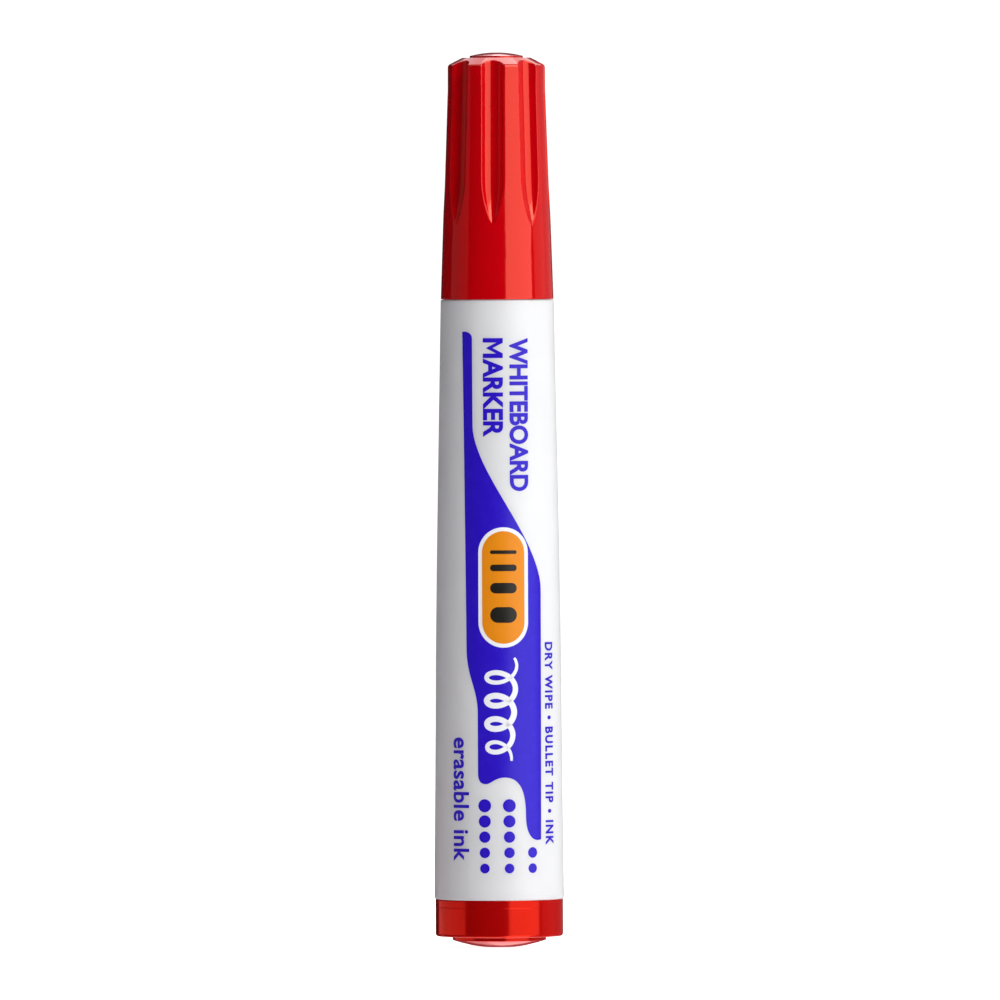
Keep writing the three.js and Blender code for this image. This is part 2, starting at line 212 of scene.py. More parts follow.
class InsideSizes(bpy.types.PropertyGroup):
    """Sizes of the nib and the reservoir."""
    nib_radius: length("Nib radius", "Radius of the fibre nib", 2.4)
    point_radius: length("Point rounding", "Rounding of the bullet point", 1.2)
    point_slope: angle("Point slope", "Angle between the point's cone and the axis", 16)
    tail_bevel: length("Tail bevel", "Bevel round the nib's tail", 0.5)
    film_thickness: length("Film thickness", "Thickness of the reservoir's sleeve", 0.2)


class PlugSizes(bpy.types.PropertyGroup):
    """Sizes of the end plug."""
    radius: length("Radius", "Radius of the plug's head", 9.77)
    corner_round: length("Corner rounding", "Rounding round the bottom of the head", 0.42)
    boss_radius: length("Boss radius", "Radius of the raised boss", 7.15)
    boss_side: length("Boss side", "Straight side of the boss", 0.6)
    dome_height: length("Dome height", "Rise of the boss's crown", 1.04)
    flat_radius: length("Flat radius", "Flat in the middle of the crown", 2.5)
    parting_height: length("Parting line", "Distance from the seam down to the parting line", 1.2)
    parting_depth: length("Parting depth", "Depth of the parting line", 0.02)
    skirt_radius: length("Skirt radius", "Radius of the part inside the barrel", 8.82)
    rib_count: count("Ribs", "Ribs inside the plug", 4)
    rib_thickness: length("Rib thickness", "Thickness of one rib", 1)


class CapSizes(bpy.types.PropertyGroup):
    """Sizes of the cap and its flutes."""
    rim_radius: length("Rim radius", "Radius at the cap's rim", 8.63)
    taper_radius: length("Taper end radius", "Radius at the end of the taper", 7.6)
    taper_length: length("Taper length", "Length of the taper", 30.99)
    top_radius: length("Top radius", "Radius at the rounded corner", 7.555)
    corner_round: length("Corner rounding", "Rounding round the top", 0.6)
    rim_round: length("Rim rounding", "Rounding round the rim", 0.1)
    crown_slope: angle("Crown slope", "Slope inside the rounded corner", 25.7)
    ring_radius: length("Ring radius", "Where the slope meets the flat ring", 5.2)
    disc_radius: length("Disc radius", "Radius of the raised disc", 4.07)
    disc_side: length("Disc side", "Straight side of the raised disc", 0.28)
    disc_rise: length("Disc rise", "Rise of the disc's domed top", 0.52)
    flute_count: count("Flutes", "Flutes round the cap", 8)
    flute_turn: angle("Flute turn", "Angle of the first flute from +X", -4.5)
    flute_width: length("Flute width", "Width of one flute", 3.35)
    flute_depth: length("Flute depth", "Depth of one flute", 1.3)
    flute_full_height: length("Flute full height", "From the rim to where a flute is full", 18.7)
    flute_point_length: length("Flute point", "Length of a flute's pointed end", 7.6)
    flute_edge: length("Flute edge", "Softness of a flute's edges", 0.2)


class PrintSizes(bpy.types.PropertyGroup):
    """Sizes of the print on the barrel."""
    ink_rise: length("Ink rise", "Height of the ink above the barrel", 0.02)
    strip_left: length("Strip left", "Left edge of the narrow strip, from the middle", 5.45)
    strip_right: length("Strip right", "Right edge of the narrow strip, from the middle", 3.97)
    panel_right: length("Panel right", "Right edge of the broad panel", 7.15)
    title_height: length("Title height", "Height of the large letters", 3.1)
    note_height: length("Note height", "Height of the small letters", 1.95)
    script_height: length("Script height", "Height of the small letters on the left", 2.95)
    badge_width: length("Badge width", "Width of the orange badge", 6.6)
    badge_length: length("Badge length", "Length of the orange badge", 17.2)
    badge_border: length("Badge border", "White border round the badge", 0.6)
    dot_radius: length("Dot radius", "Radius of the largest dots", 1)
    dot_columns: count("Dot columns", "Columns of dots", 3)
    dot_rows: count("Dot rows", "Rows of dots", 5)


class MarkerColours(bpy.types.PropertyGroup):
    """Colours of the marker."""
    barrel: colour("Barrel", "White plastic of the barrel", 0.755, 0.755, 0.76)
    cap: colour("Cap", "Red plastic of the cap", 0.65, 0.0, 0.003)
    plug: colour("Plug", "Red plastic of the end plug", 0.42, 0.001, 0.0)
    liner: colour("Liner", "Natural plastic of the liner", 0.8, 0.8, 0.78)
    fibre: colour("Fibre", "Ink-soaked fibre", 0.36, 0.004, 0.01)
    film: colour("Film", "Sleeve round the reservoir", 0.8, 0.8, 0.81)
    ink_blue: colour("Blue ink", "Main ink of the print", 0.022, 0.003, 0.52)
    ink_orange: colour("Orange ink", "Ink of the badge", 0.79, 0.25, 0.003)
    ink_black: colour("Black ink", "Ink of the bars on the badge", 0.012, 0.011, 0.008)
    ink_white: colour("White ink", "Ink of the border and the flourish", 0.88, 0.88, 0.9)


# ---- Outlines: a corner is (radius, height, rounding) and a point is (radius, height) ----

def rounded(corners, closed):
    """The points of the outline through corners, each turned with its own rounding."""
    path = []
    total = len(corners)
    for i, (r, z, turn) in enumerate(corners):
        here = Vector((r, z))
        if turn <= 0 or (not closed and i in (0, total - 1)):
            path.append((r, z))
            continue
        back = Vector(corners[i - 1][:2]) - here
        onward = Vector(corners[(i + 1) % total][:2]) - here
        path.extend(corner_arc(here, back, onward, turn))
    return path


def corner_arc(here, back, onward, turn):
    """Points of an arc that replaces the corner `here`, with a holding point at each end."""
    between = back.angle(onward)
    sweep = math.pi - between
    if sweep < 0.02:
        return [tuple(here)]
    reach = min(turn / math.tan(between / 2), 0.45 * min(back.length, onward.length))
    radius = reach * math.tan(between / 2)
    to_back, to_onward = back.normalized(), onward.normalized()
    middle = here + (to_back + to_onward).normalized() * (radius / math.sin(between / 2))
    first, last = here + to_back * reach - middle, here + to_onward * reach - middle
    points = [here + to_back * (reach + min(HOLD, (back.length - reach) / 4))]
    for k in range(ROUND_STEPS + 1):
        t = k / ROUND_STEPS
        blend = first * math.sin((1 - t) * sweep) + last * math.sin(t * sweep)
        points.append(middle + blend / math.sin(sweep))
    points.append(here + to_onward * (reach + min(HOLD, (onward.length - reach) / 4)))
    return [tuple(p) for p in points]


def dome(edge, flat, base, rise, steps):
    """Corners of a crown that rises from `edge` at its rim to a flat of radius `flat`."""
    points = []
    for i in range(steps + 1):
        r = edge + (flat - edge) * i / steps
        drop = (r * r - flat * flat) / (edge * edge - flat * flat)
        points.append((r, base + rise * (1 - drop), 0))
    return points


def barrel_radius(sizes, z):
    """Outer radius of the barrel at a height: two tapers with a smooth bend between."""
    long_part = SHOULDER_Z - SEAM_Z
    rear_taper = (sizes.rear_radius - sizes.waist_radius) / sizes.waist_height
    front_taper = (sizes.waist_radius - sizes.front_radius) / (long_part - sizes.waist_height)
    past = z - SEAM_Z - sizes.waist_height
    half = sizes.bend_length / 2
    bend = (past + half) ** 2 / (4 * half) if abs(past) < half else max(past, 0)
    return sizes.rear_radius - rear_taper * (z - SEAM_Z) - (front_taper - rear_taper) * bend


# ---- Meshes ----

def sheet_mesh(name, points, closed):
    """A mesh of quads over a grid of points; a closed grid joins its last row to its first."""
    rows, columns = points.shape[:2]
    faces = []
    for i in range(rows if closed else rows - 1):
        a, b = i * columns, (i + 1) % rows * columns
        for j in range(columns - 1):
            faces.append((a + j, a + j + 1, b + j + 1, b + j))
    mesh = bpy.data.meshes.new(name)
    mesh.from_pydata(points.reshape(-1, 3).tolist(), [], faces)
    return mesh


def polar_points(radii, heights, angles):
    return np.stack([radii * np.cos(angles), radii * np.sin(angles), heights], axis=-1)


def sector_points(path, span, columns):
    """A plain sector of the solid of revolution of a path."""
    angles = np.linspace(-span / 2, span / 2, columns + 1)[None, :]
    path = np.array(path)
    radii = np.repeat(path[:, :1], columns + 1, axis=1)
    heights = np.repeat(path[:, 1:], columns + 1, axis=1)
    return polar_points(radii, heights, np.repeat(angles, len(path), axis=0))


def add_object(name, data):
    made = bpy.data.objects.new(name, data)
    bpy.context.scene.collection.objects.link(made)
    return made


def set_input(modifier, socket_name, value):
    for item in modifier.node_group.interface.items_tree:
        if item.item_type == "SOCKET" and item.in_out == "INPUT" and item.name == socket_name:
            modifier[item.identifier] = value


def apply_tree(piece, tree, values):
    """Runs a Geometry Nodes tree on a piece and leaves its result as a plain mesh."""
    modifier = piece.modifiers.new(tree.name, "NODES")
    modifier.node_group = tree
    for socket_name, value in values.items():
        set_input(modifier, socket_name, value)
    depsgraph = bpy.context.evaluated_depsgraph_get()
    mesh = bpy.data.meshes.new_from_object(piece.evaluated_get(depsgraph), depsgraph=depsgraph)
    piece.modifiers.clear()
    piece.data = mesh
    mesh.name = piece.name
    return mesh


def finish_mesh(mesh):
    """Points the faces outwards, smooths them and keeps the sharp edges sharp."""
    work = bmesh.new()
    work.from_mesh(mesh)
    if work.calc_volume(signed=True) < 0:
        bmesh.ops.reverse_faces(work, faces=work.faces)
    work.to_mesh(mesh)
    work.free()
    mesh.shade_smooth()
    mesh.set_sharp_from_angle(angle=SMOOTH_LIMIT)


def turned_piece(name, points, closed, times, material, turn=0.0):
    """A piece made of `times` equal sectors round the axis."""
    piece = add_object(name, sheet_mesh(name, points, closed))
    apply_tree(piece, repeat_tree(), {
        "Count": times, "First Angle": turn, "Weld Distance": WELD, "Finish": material,
    })
    finish_mesh(piece.data)
    return piece


def lathe(name, corners, closed, material):
    """A plain turned piece, made of four sectors."""
    quarters = 4
    points = sector_points(rounded(corners, closed), math.tau / quarters, SIDES // quarters)
    return turned_piece(name, points, closed, quarters, material)


# ---- Geometry Nodes ----

def new_tree(name, inputs):
    """A Geometry Nodes tree with its group input and output, and a dictionary of named inputs."""
    tree = bpy.data.node_groups.new(name, "GeometryNodeTree")
    tree.interface.new_socket("Geometry", in_out="INPUT", socket_type="NodeSocketGeometry")
    for socket_name, socket_type in inputs:
        tree.interface.new_socket(socket_name, in_out="INPUT", socket_type=socket_type)
    tree.interface.new_socket("Geometry", in_out="OUTPUT", socket_type="NodeSocketGeometry")
    entry = tree.nodes.new("NodeGroupInput")
    leave = tree.nodes.new("NodeGroupOutput")
    return tree, entry.outputs, leave.inputs


def add_node(tree, kind, links=None, **settings):
    """Adds a node, sets its properties, and links or sets its inputs."""
    node = tree.nodes.new(kind)
    for key, value in settings.items():
        setattr(node, key, value)
    for key, value in (links or {}).items():
        if isinstance(value, bpy.types.NodeSocket):
            tree.links.new(value, node.inputs[key])
        else:
            node.inputs[key].default_value = value
    return node


def maths(tree, operation, *values):
    """The result of a Math node whose inputs are sockets or numbers."""
    return add_node(tree, "ShaderNodeMath", dict(enumerate(values)), operation=operation).outputs[0]


def built_once(build):
    """Lets a function that makes a node group make it only once."""
    made = []

    def fetch():
        if not made:
            made.append(build())
        return made[0]

    fetch.__doc__ = build.__doc__
    return fetch


@built_once
def repeat_tree():
    """Repeats a sector round the Z axis and welds the copies."""
    tree, given, result = new_tree("Repeat Round Axis", [
        ("Count", "NodeSocketInt"), ("First Angle", "NodeSocketFloat"),
        ("Weld Distance", "NodeSocketFloat"), ("Finish", "NodeSocketMaterial"),
    ])
    points = add_node(tree, "GeometryNodePoints", {"Count": given["Count"]})
    index = add_node(tree, "GeometryNodeInputIndex")
    step = maths(tree, "DIVIDE", math.tau, given["Count"])
    turned = maths(tree, "MULTIPLY_ADD", index.outputs[0], step, given["First Angle"])
    spin = add_node(tree, "ShaderNodeCombineXYZ", {"Z": turned})
    rotation = add_node(tree, "FunctionNodeEulerToRotation", {0: spin.outputs[0]})
    copies = add_node(tree, "GeometryNodeInstanceOnPoints", {
        "Points": points.outputs[0], "Instance": given["Geometry"], "Rotation": rotation.outputs[0],
    })
    real = add_node(tree, "GeometryNodeRealizeInstances", {0: copies.outputs[0]})
    welded = add_node(tree, "GeometryNodeMergeByDistance", {
        "Geometry": real.outputs[0], "Distance": given["Weld Distance"],
    })
    painted = add_node(tree, "GeometryNodeSetMaterial", {
        "Geometry": welded.outputs[0], "Material": given["Finish"],
    })
    tree.links.new(painted.outputs[0], result[0])
    return tree


@built_once
def dot_tree():
    """A flat grid of dots that shrink towards its foot, without those that the panel's tail covers."""
    tree, given, result = new_tree("Dot Grid", [
        ("Columns", "NodeSocketInt"), ("Rows", "NodeSocketInt"), ("Width", "NodeSocketFloat"),
        ("Height", "NodeSocketFloat"), ("Dot Radius", "NodeSocketFloat"), ("Foot Share", "NodeSocketFloat"),
        ("Covered Past", "NodeSocketFloat"), ("Covered Above", "NodeSocketFloat"),
        ("Finish", "NodeSocketMaterial"),
    ])
    grid = add_node(tree, "GeometryNodeMeshGrid", {
        "Size X": given["Width"], "Size Y": given["Height"],
        "Vertices X": given["Columns"], "Vertices Y": given["Rows"],
    })
    position = add_node(tree, "GeometryNodeInputPosition")
    place = add_node(tree, "ShaderNodeSeparateXYZ", {0: position.outputs[0]})
    past = [add_node(tree, "FunctionNodeCompare", {"A": place.outputs[i], "B": given[limit]},
                     data_type="FLOAT", operation="GREATER_THAN").outputs[0]
            for i, limit in enumerate(("Covered Past", "Covered Above"))]
    covered = add_node(tree, "FunctionNodeBooleanMath", {0: past[0], 1: past[1]})
    kept = add_node(tree, "GeometryNodeDeleteGeometry", {
        "Geometry": grid.outputs["Mesh"], "Selection": covered.outputs[0],
    }, domain="POINT", mode="ALL")
    disc = add_node(tree, "GeometryNodeMeshCircle", {"Vertices": 28, "Radius": given["Dot Radius"]},
                    fill_type="TRIANGLE_FAN")
    half = maths(tree, "MULTIPLY", given["Height"], 0.5)
    foot = maths(tree, "MULTIPLY", half, -1.0)
    scale = add_node(tree, "ShaderNodeMapRange", {
        "Value": place.outputs[1], "From Min": foot, "From Max": half,
        "To Min": given["Foot Share"], "To Max": 1.0,
    })
    copies = add_node(tree, "GeometryNodeInstanceOnPoints", {
        "Points": kept.outputs[0], "Instance": disc.outputs["Mesh"], "Scale": scale.outputs[0],
    })
    real = add_node(tree, "GeometryNodeRealizeInstances", {0: copies.outputs[0]})
    painted = add_node(tree, "GeometryNodeSetMaterial", {
        "Geometry": real.outputs[0], "Material": given["Finish"],
    })
    tree.links.new(painted.outputs[0], result[0])
    return tree


# ---- Shader effects shared by several finishes ----

def shader_group(name, inputs, outputs):
    """An empty shader node group with its input values and named outputs."""
    tree = bpy.data.node_groups.new(name, "ShaderNodeTree")
    for socket_name, socket_type, value in inputs:
        made = tree.interface.new_socket(socket_name, in_out="INPUT", socket_type=socket_type)
        made.default_value = value
    for socket_name, socket_type in outputs:
        tree.interface.new_socket(socket_name, in_out="OUTPUT", socket_type=socket_type)
    entry = tree.nodes.new("NodeGroupInput")
    leave = tree.nodes.new("NodeGroupOutput")
    return tree, entry.outputs, leave.inputs


def noise(tree, vector, scale, detail=2.0, distortion=0.0):
    return add_node(tree, "ShaderNodeTexNoise", {
        "Vector": vector, "Scale": scale, "Detail": detail, "Distortion": distortion,
    }).outputs[0]


def stretched(tree, vector, scale, turn=(0, 0, 0)):
    return add_node(tree, "ShaderNodeMapping", {
        "Vector": vector, "Rotation": turn, "Scale": scale,
    }).outputs[0]


def spread(tree, value, low, high, to_low=0.0, to_high=1.0):
    """A value between `low` and `high`, moved to between `to_low` and `to_high`."""
    return add_node(tree, "ShaderNodeMapRange", {
        "Value": value, "From Min": low, "From Max": high, "To Min": to_low, "To Max": to_high,
    }).outputs[0]


def blended(tree, amount, first, second):
    return add_node(tree, "ShaderNodeMix", {
        "Factor": amount, 6: first, 7: second,
    }, data_type="RGBA").outputs[2]


SURFACE_OUTPUTS = (
    ("Colour", "NodeSocketColor"), ("Roughness", "NodeSocketFloat"), ("Height", "NodeSocketFloat"),
)


def link_surface(tree, result, tint, rough, height):
    for socket_name, value in (("Colour", tint), ("Roughness", rough), ("Height", height)):
        tree.links.new(value, result[socket_name])
    return tree


@built_once
def moulded_skin():
    """Skin of moulded plastic: faint waviness, fine grain, flow tint and patchy gloss."""
    tree, given, result = shader_group("Moulded Skin", [
        ("Colour", "NodeSocketColor", (0.8, 0.8, 0.8, 1)),
        ("Flow Colour", "NodeSocketColor", (0.7, 0.7, 0.7, 1)),
        ("Flow Amount", "NodeSocketFloat", 0.2),
        ("Gloss Low", "NodeSocketFloat", 0.1), ("Gloss High", "NodeSocketFloat", 0.2),
        ("Grain Size", "NodeSocketFloat", 0.15 * MM),
    ], SURFACE_OUTPUTS)
    where = add_node(tree, "ShaderNodeTexCoord").outputs["Object"]
    drawn = stretched(tree, where, (1, 1, 0.22))
    flow = maths(tree, "MULTIPLY", noise(tree, drawn, 190, 3), given["Flow Amount"])
    tint = blended(tree, flow, given["Colour"], given["Flow Colour"])
    gloss = spread(tree, noise(tree, where, 420, 3), 0.3, 0.7, given["Gloss Low"], given["Gloss High"])
    grain = noise(tree, where, maths(tree, "DIVIDE", 1.0, given["Grain Size"]))
    height = maths(tree, "MULTIPLY_ADD", noise(tree, drawn, 260, 1), 2.5, grain)
    return link_surface(tree, result, tint, gloss, height)


@built_once
def handling_marks():
    """A mask of hairline scratches inside soft rubbed patches, from handling."""
    tree, given, result = shader_group("Handling Marks", [
        ("Spacing", "NodeSocketFloat", 2.2 * MM), ("Amount", "NodeSocketFloat", 0.5),
    ], [("Mask", "NodeSocketFloat")])
    where = add_node(tree, "ShaderNodeTexCoord").outputs["Object"]
    density = maths(tree, "DIVIDE", 1.0, given["Spacing"])
    lines = []
    for turn, stretch in (((0.3, 0.2, 0.5), (1, 1, 0.06)), ((0.9, -0.4, 1.3), (1, 0.08, 1))):
        cells = add_node(tree, "ShaderNodeTexVoronoi", {
            "Vector": stretched(tree, where, stretch, turn), "Scale": density,
        }, feature="DISTANCE_TO_EDGE")
        lines.append(spread(tree, cells.outputs["Distance"], 0.0, 0.012, 1.0, 0.0))
    rubbed = spread(tree, noise(tree, where, 150, 4), 0.5, 0.72)
    kept = maths(tree, "MULTIPLY", maths(tree, "MAXIMUM", *lines), rubbed)
    tree.links.new(maths(tree, "MULTIPLY", kept, given["Amount"]), result["Mask"])
    return tree


@built_once
def fibre_bundle():
    """Fine fibres laid along Z: their colour, how wet they look, and their height."""
    tree, given, result = shader_group("Fibre Bundle", [
        ("Colour", "NodeSocketColor", (0.4, 0.01, 0.02, 1)),
        ("Pale", "NodeSocketColor", (0.7, 0.2, 0.2, 1)),
        ("Fibre Size", "NodeSocketFloat", 0.09 * MM),
    ], SURFACE_OUTPUTS)
    where = add_node(tree, "ShaderNodeTexCoord").outputs["Object"]
    density = maths(tree, "DIVIDE", 1.0, given["Fibre Size"])
    strands = noise(tree, stretched(tree, where, (1, 1, 0.035)), density, distortion=0.4)
    tint = blended(tree, spread(tree, strands, 0.45, 0.8, 0.0, 0.6), given["Colour"], given["Pale"])
    wet = spread(tree, noise(tree, where, 900, 3), 0.3, 0.7, 0.55, 0.95)
    return link_surface(tree, result, tint, wet, strands)


@built_once
def ink_film():
    """Screen-printed ink: slight cover changes, fine mesh dimples and patchy gloss."""
    tree, given, result = shader_group("Ink Film", [
        ("Colour", "NodeSocketColor", (0.1, 0.1, 0.5, 1)),
        ("Thin Colour", "NodeSocketColor", (0.2, 0.2, 0.6, 1)),
        ("Gloss Low", "NodeSocketFloat", 0.2), ("Gloss High", "NodeSocketFloat", 0.3),
        ("Mesh Size", "NodeSocketFloat", 0.12 * MM),
    ], SURFACE_OUTPUTS)
    where = add_node(tree, "ShaderNodeTexCoord").outputs["Object"]
    cover = noise(tree, where, 700, 4)
    thin = spread(tree, cover, 0.5, 0.85, 0.0, 0.35)
    tint = blended(tree, thin, given["Colour"], given["Thin Colour"])
    gloss = spread(tree, cover, 0.3, 0.7, given["Gloss Low"], given["Gloss High"])
    density = maths(tree, "DIVIDE", 1.0, given["Mesh Size"])
    dimples = add_node(tree, "ShaderNodeTexVoronoi", {
        "Vector": where, "Scale": density,
    }, feature="SMOOTH_F1")
    return link_surface(tree, result, tint, gloss, dimples.outputs["Distance"])


# ---- Finishes ----

def place_group(tree, group, values):
    node = tree.nodes.new("ShaderNodeGroup")
    node.node_tree = group
    for socket_name, value in values.items():
        node.inputs[socket_name].default_value = value
    return node


def rgba(values):
    return (*(min(1.0, v) for v in values), 1.0)


def new_finish(name, constants):
    """A material with its Principled BSDF, whose constant sockets are set directly."""
    material = bpy.data.materials.new(name)
    material.use_nodes = True
    shader = material.node_tree.nodes["Principled BSDF"]
    for socket_name, value in constants.items():
        shader.inputs[socket_name].default_value = value
    return material, material.node_tree, shader


def dress(tree, shader, surface, rough, strength, distance):
    """Feeds a shader with a group's colour, a roughness and the group's height as a bump."""
    bump = add_node(tree, "ShaderNodeBump", {
        "Height": surface.outputs["Height"], "Strength": strength, "Distance": distance,
    })
    tree.links.new(surface.outputs["Colour"], shader.inputs["Base Color"])
    tree.links.new(rough, shader.inputs["Roughness"])
    tree.links.new(bump.outputs[0], shader.inputs["Normal"])


def plastic(name, base, flow, gloss, bump, marks, constants):
    """Moulded plastic: flow tint, patchy gloss, handling marks and a fine skin."""
    if name in bpy.data.materials:
        return bpy.data.materials[name]
    material, tree, shader = new_finish(name, constants)
    skin = place_group(tree, moulded_skin(), {
        "Colour": rgba(base), "Flow Colour": rgba(flow), "Flow Amount": 0.5,
        "Gloss Low": gloss[0], "Gloss High": gloss[1], "Grain Size": 0.14 * MM,
    })
    worn = place_group(tree, handling_marks(), {"Amount": marks})
    rough = maths(tree, "MULTIPLY_ADD", worn.outputs["Mask"], 0.25, skin.outputs["Roughness"])
    dress(tree, shader, skin, rough, bump, 0.01 * MM)
    return material


def fibre(name, base, pale, size, constants):
    """A bundle of ink-soaked fibres."""
    if name in bpy.data.materials:
        return bpy.data.materials[name]
    material, tree, shader = new_finish(name, constants)
    bundle = place_group(tree, fibre_bundle(), {
        "Colour": rgba(base), "Pale": rgba(pale), "Fibre Size": size,
    })
    dress(tree, shader, bundle, bundle.outputs["Roughness"], 0.6, 0.05 * MM)
    return material


def ink(name, base, brighter, lift=0.0):
    """A film of printed ink, whose thin places are brighter by a factor and a lift."""
    if name in bpy.data.materials:
        return bpy.data.materials[name]
    material, tree, shader = new_finish(name, {"IOR": 1.4})
    film = place_group(tree, ink_film(), {
        "Colour": rgba(base), "Thin Colour": rgba(v * brighter + lift for v in base),
        "Gloss Low": 0.28, "Gloss High": 0.34,
    })
    dress(tree, shader, film, film.outputs["Roughness"], 0.15, 0.004 * MM)
    return material


def barrel_finish(colours):
    base = colours.barrel
    return plastic("barrel white", base, [v * 0.93 for v in base], (0.3, 0.36), 0.12, 0.25, {
        "IOR": 1.46, "Subsurface Weight": 0.5, "Subsurface Scale": 0.0035,
        "Subsurface Radius": (1.0, 1.0, 1.0),
    })


def cap_finish(colours):
    return plastic("cap red", colours.cap, (0.5, 0.0, 0.008), (0.1, 0.15), 0.08, 0.25, {
        "IOR": 1.85, "Specular IOR Level": 1.0, "Specular Tint": (1.0, 0.1, 0.02, 1.0),
        "Coat Weight": 0.75, "Coat Roughness": 0.05, "Coat IOR": 1.46,
    })


def plug_finish(colours):
    return plastic("plug red", colours.plug, (0.55, 0.004, 0.01), (0.14, 0.2), 0.08, 0.25, {
        "IOR": 2.2, "Specular IOR Level": 1.0, "Specular Tint": (1.0, 0.04, 0.01, 1.0),
        "Coat Weight": 0.15, "Coat Roughness": 0.06, "Coat IOR": 1.36,
    })


def liner_finish(colours):
    base = colours.liner
    return plastic("liner natural", base, [v * 0.95 for v in base], (0.42, 0.5), 0.2, 0.3, {
        "IOR": 1.5, "Subsurface Weight": 0.15, "Subsurface Scale": 0.001,
    })


def film_finish(colours):
    base = colours.film
    return plastic("sleeve film", base, [v * 0.9 for v in base], (0.18, 0.3), 0.4, 0.2, {"IOR": 1.5})


def nib_finish(colours):
    return fibre("nib fibre", colours.fibre, (0.62, 0.05, 0.05), 0.08 * MM, {"Sheen Weight": 0.08})


def core_finish(colours):
    return fibre("reservoir fibre", colours.fibre, (0.75, 0.25, 0.25), 0.12 * MM, {"Sheen Weight": 0.3})


def blue_ink(colours):
    return ink("blue ink", colours.ink_blue, 1.25, 0.01)


def white_ink(colours):
    return ink("white ink", colours.ink_white, 0.96)


def orange_ink(colours):
    return ink("orange ink", colours.ink_orange, 1.06)


def black_ink(colours):
    return ink("black ink", colours.ink_black, 1.5)


# ---- Flat print, drawn with x across the barrel's front and y up it ----

def bezier(start, pull, push, end, steps=24):
    """Points of a cubic curve, without its last point."""
    a, b, c, d = (Vector(p) for p in (start, pull, push, end))
    points = []
    for k in range(steps):
        t = k / steps
        points.append(
            a * (1 - t) ** 3 + b * 3 * t * (1 - t) ** 2 + c * 3 * t * t * (1 - t) + d * t ** 3
        )
    return [tuple(p) for p in points]


def stadium(middle, width, height, steps=24):
    """A shape with straight long sides and fully round ends; width runs across and height up."""
    radius = min(width, height) / 2
    across, up = max(width / 2 - radius, 0), max(height / 2 - radius, 0)
    points = []
    for k in range(4):
        sign_x, sign_y = (1, 1, -1, -1)[k], (-1, 1, 1, -1)[k]
        for s in range(steps // 2 + 1):
            turn = math.radians(-90 + 90 * k + 90 * s / (steps // 2))
            points.append((
                middle[0] + sign_x * across + radius * math.cos(turn),
                middle[1] + sign_y * up + radius * math.sin(turn),
            ))
    return points


def flat_shape(outline):
    """A bmesh with one flat shape, cut into triangles."""
    work = bmesh.new()
    work.faces.new([work.verts.new((x, y, 0)) for x, y in outline])
    bmesh.ops.remove_doubles(work, verts=work.verts, dist=WELD)
    bmesh.ops.triangulate(work, faces=work.faces)
    face_up(work)
    return work


def face_up(work):
    """Turns every face of a flat mesh towards +Z."""
    bmesh.ops.recalc_face_normals(work, faces=work.faces)
    if sum(f.normal.z for f in work.faces) < 0:
        bmesh.ops.reverse_faces(work, faces=work.faces)


def broad_m(work, right, weight):
    """Adds a capital M whose right side ends at `right`, drawn with plain strokes."""
    wide, tall, stem, dip = 0.8, 0.682 + weight, 0.11 + 2 * weight, 0.08
    middle, low, notch = wide / 2, -weight, tall - 0.24
    outline = [
        (0, low), (stem, low), (stem, notch), (middle, dip), (wide - stem, notch), (wide - stem, low),
        (wide, low), (wide, tall), (wide - stem * 1.05, tall), (middle, dip + 0.25),
        (stem * 1.05, tall), (0, tall),
    ]
    letter = work.faces.new([work.verts.new((right - wide + x, y, 0)) for x, y in outline])
    letter.normal_update()
    if letter.normal.z < 0:
        letter.normal_flip()
    bmesh.ops.triangulate(work, faces=[letter])


def flat_words(words, weight, spacing):
    """A bmesh with one line of lettering, upright, from its baseline at the origin."""
    curve = bpy.data.curves.new("words", "FONT")
    with_m = words.startswith("M")
    curve.body = words.removeprefix("M")
    curve.offset = weight
    curve.resolution_u = 5
    curve.space_character = spacing
    line = add_object("words", curve)
    depsgraph = bpy.context.evaluated_depsgraph_get()
    mesh = bpy.data.meshes.new_from_object(line.evaluated_get(depsgraph), depsgraph=depsgraph)
    work = bmesh.new()
    work.from_mesh(mesh)
    bpy.data.objects.remove(line)
    bpy.data.curves.remove(curve)
    bpy.data.meshes.remove(mesh)
    if with_m:
        broad_m(work, min(v.co.x for v in work.verts) - 0.02, weight)
    return work


def set_reading_down(work, baseline, top, run, tall):
    """Turns a line of lettering to read down the barrel, and fits it to a length and a height."""
    xs = [v.co.x for v in work.verts]
    ys = [v.co.y for v in work.verts]
    across, up = run / (max(xs) - min(xs)), tall / (max(ys) - min(ys))
    left, low = min(xs), min(ys)
    for v in work.verts:
        v.co = Vector((baseline + (v.co.y - low) * up, top - (v.co.x - left) * across, 0))


def flat_stroke(points, widths):
    """A bmesh with one stroke of changing width along a line."""
    line = [Vector(p) for p in points]
    left, right = [], []
    for i, here in enumerate(line):
        along = (line[min(i + 1, len(line) - 1)] - line[max(i - 1, 0)]).normalized()
        side = Vector((-along.y, along.x)) * widths[i] / 2
        left.append(here + side)
        right.append(here - side)
    work = bmesh.new()
    lefts = [work.verts.new((p.x, p.y, 0)) for p in left]
    rights = [work.verts.new((p.x, p.y, 0)) for p in right]
    for i in range(len(line) - 1):
        work.faces.new((rights[i], rights[i + 1], lefts[i + 1], lefts[i]))
    face_up(work)
    return work


def cut_flat(work, axis, step):
    """Cuts a flat mesh at even steps across x or y."""
    values = [v.co[axis] for v in work.verts]
    normal = Vector((0, 0, 0))
    normal[axis] = 1
    for k in range(math.floor(min(values) / step) + 1, math.ceil(max(values) / step)):
        bmesh.ops.bisect_plane(
            work, geom=[*work.verts, *work.edges, *work.faces],
            plane_co=normal * (k * step), plane_no=normal,
        )


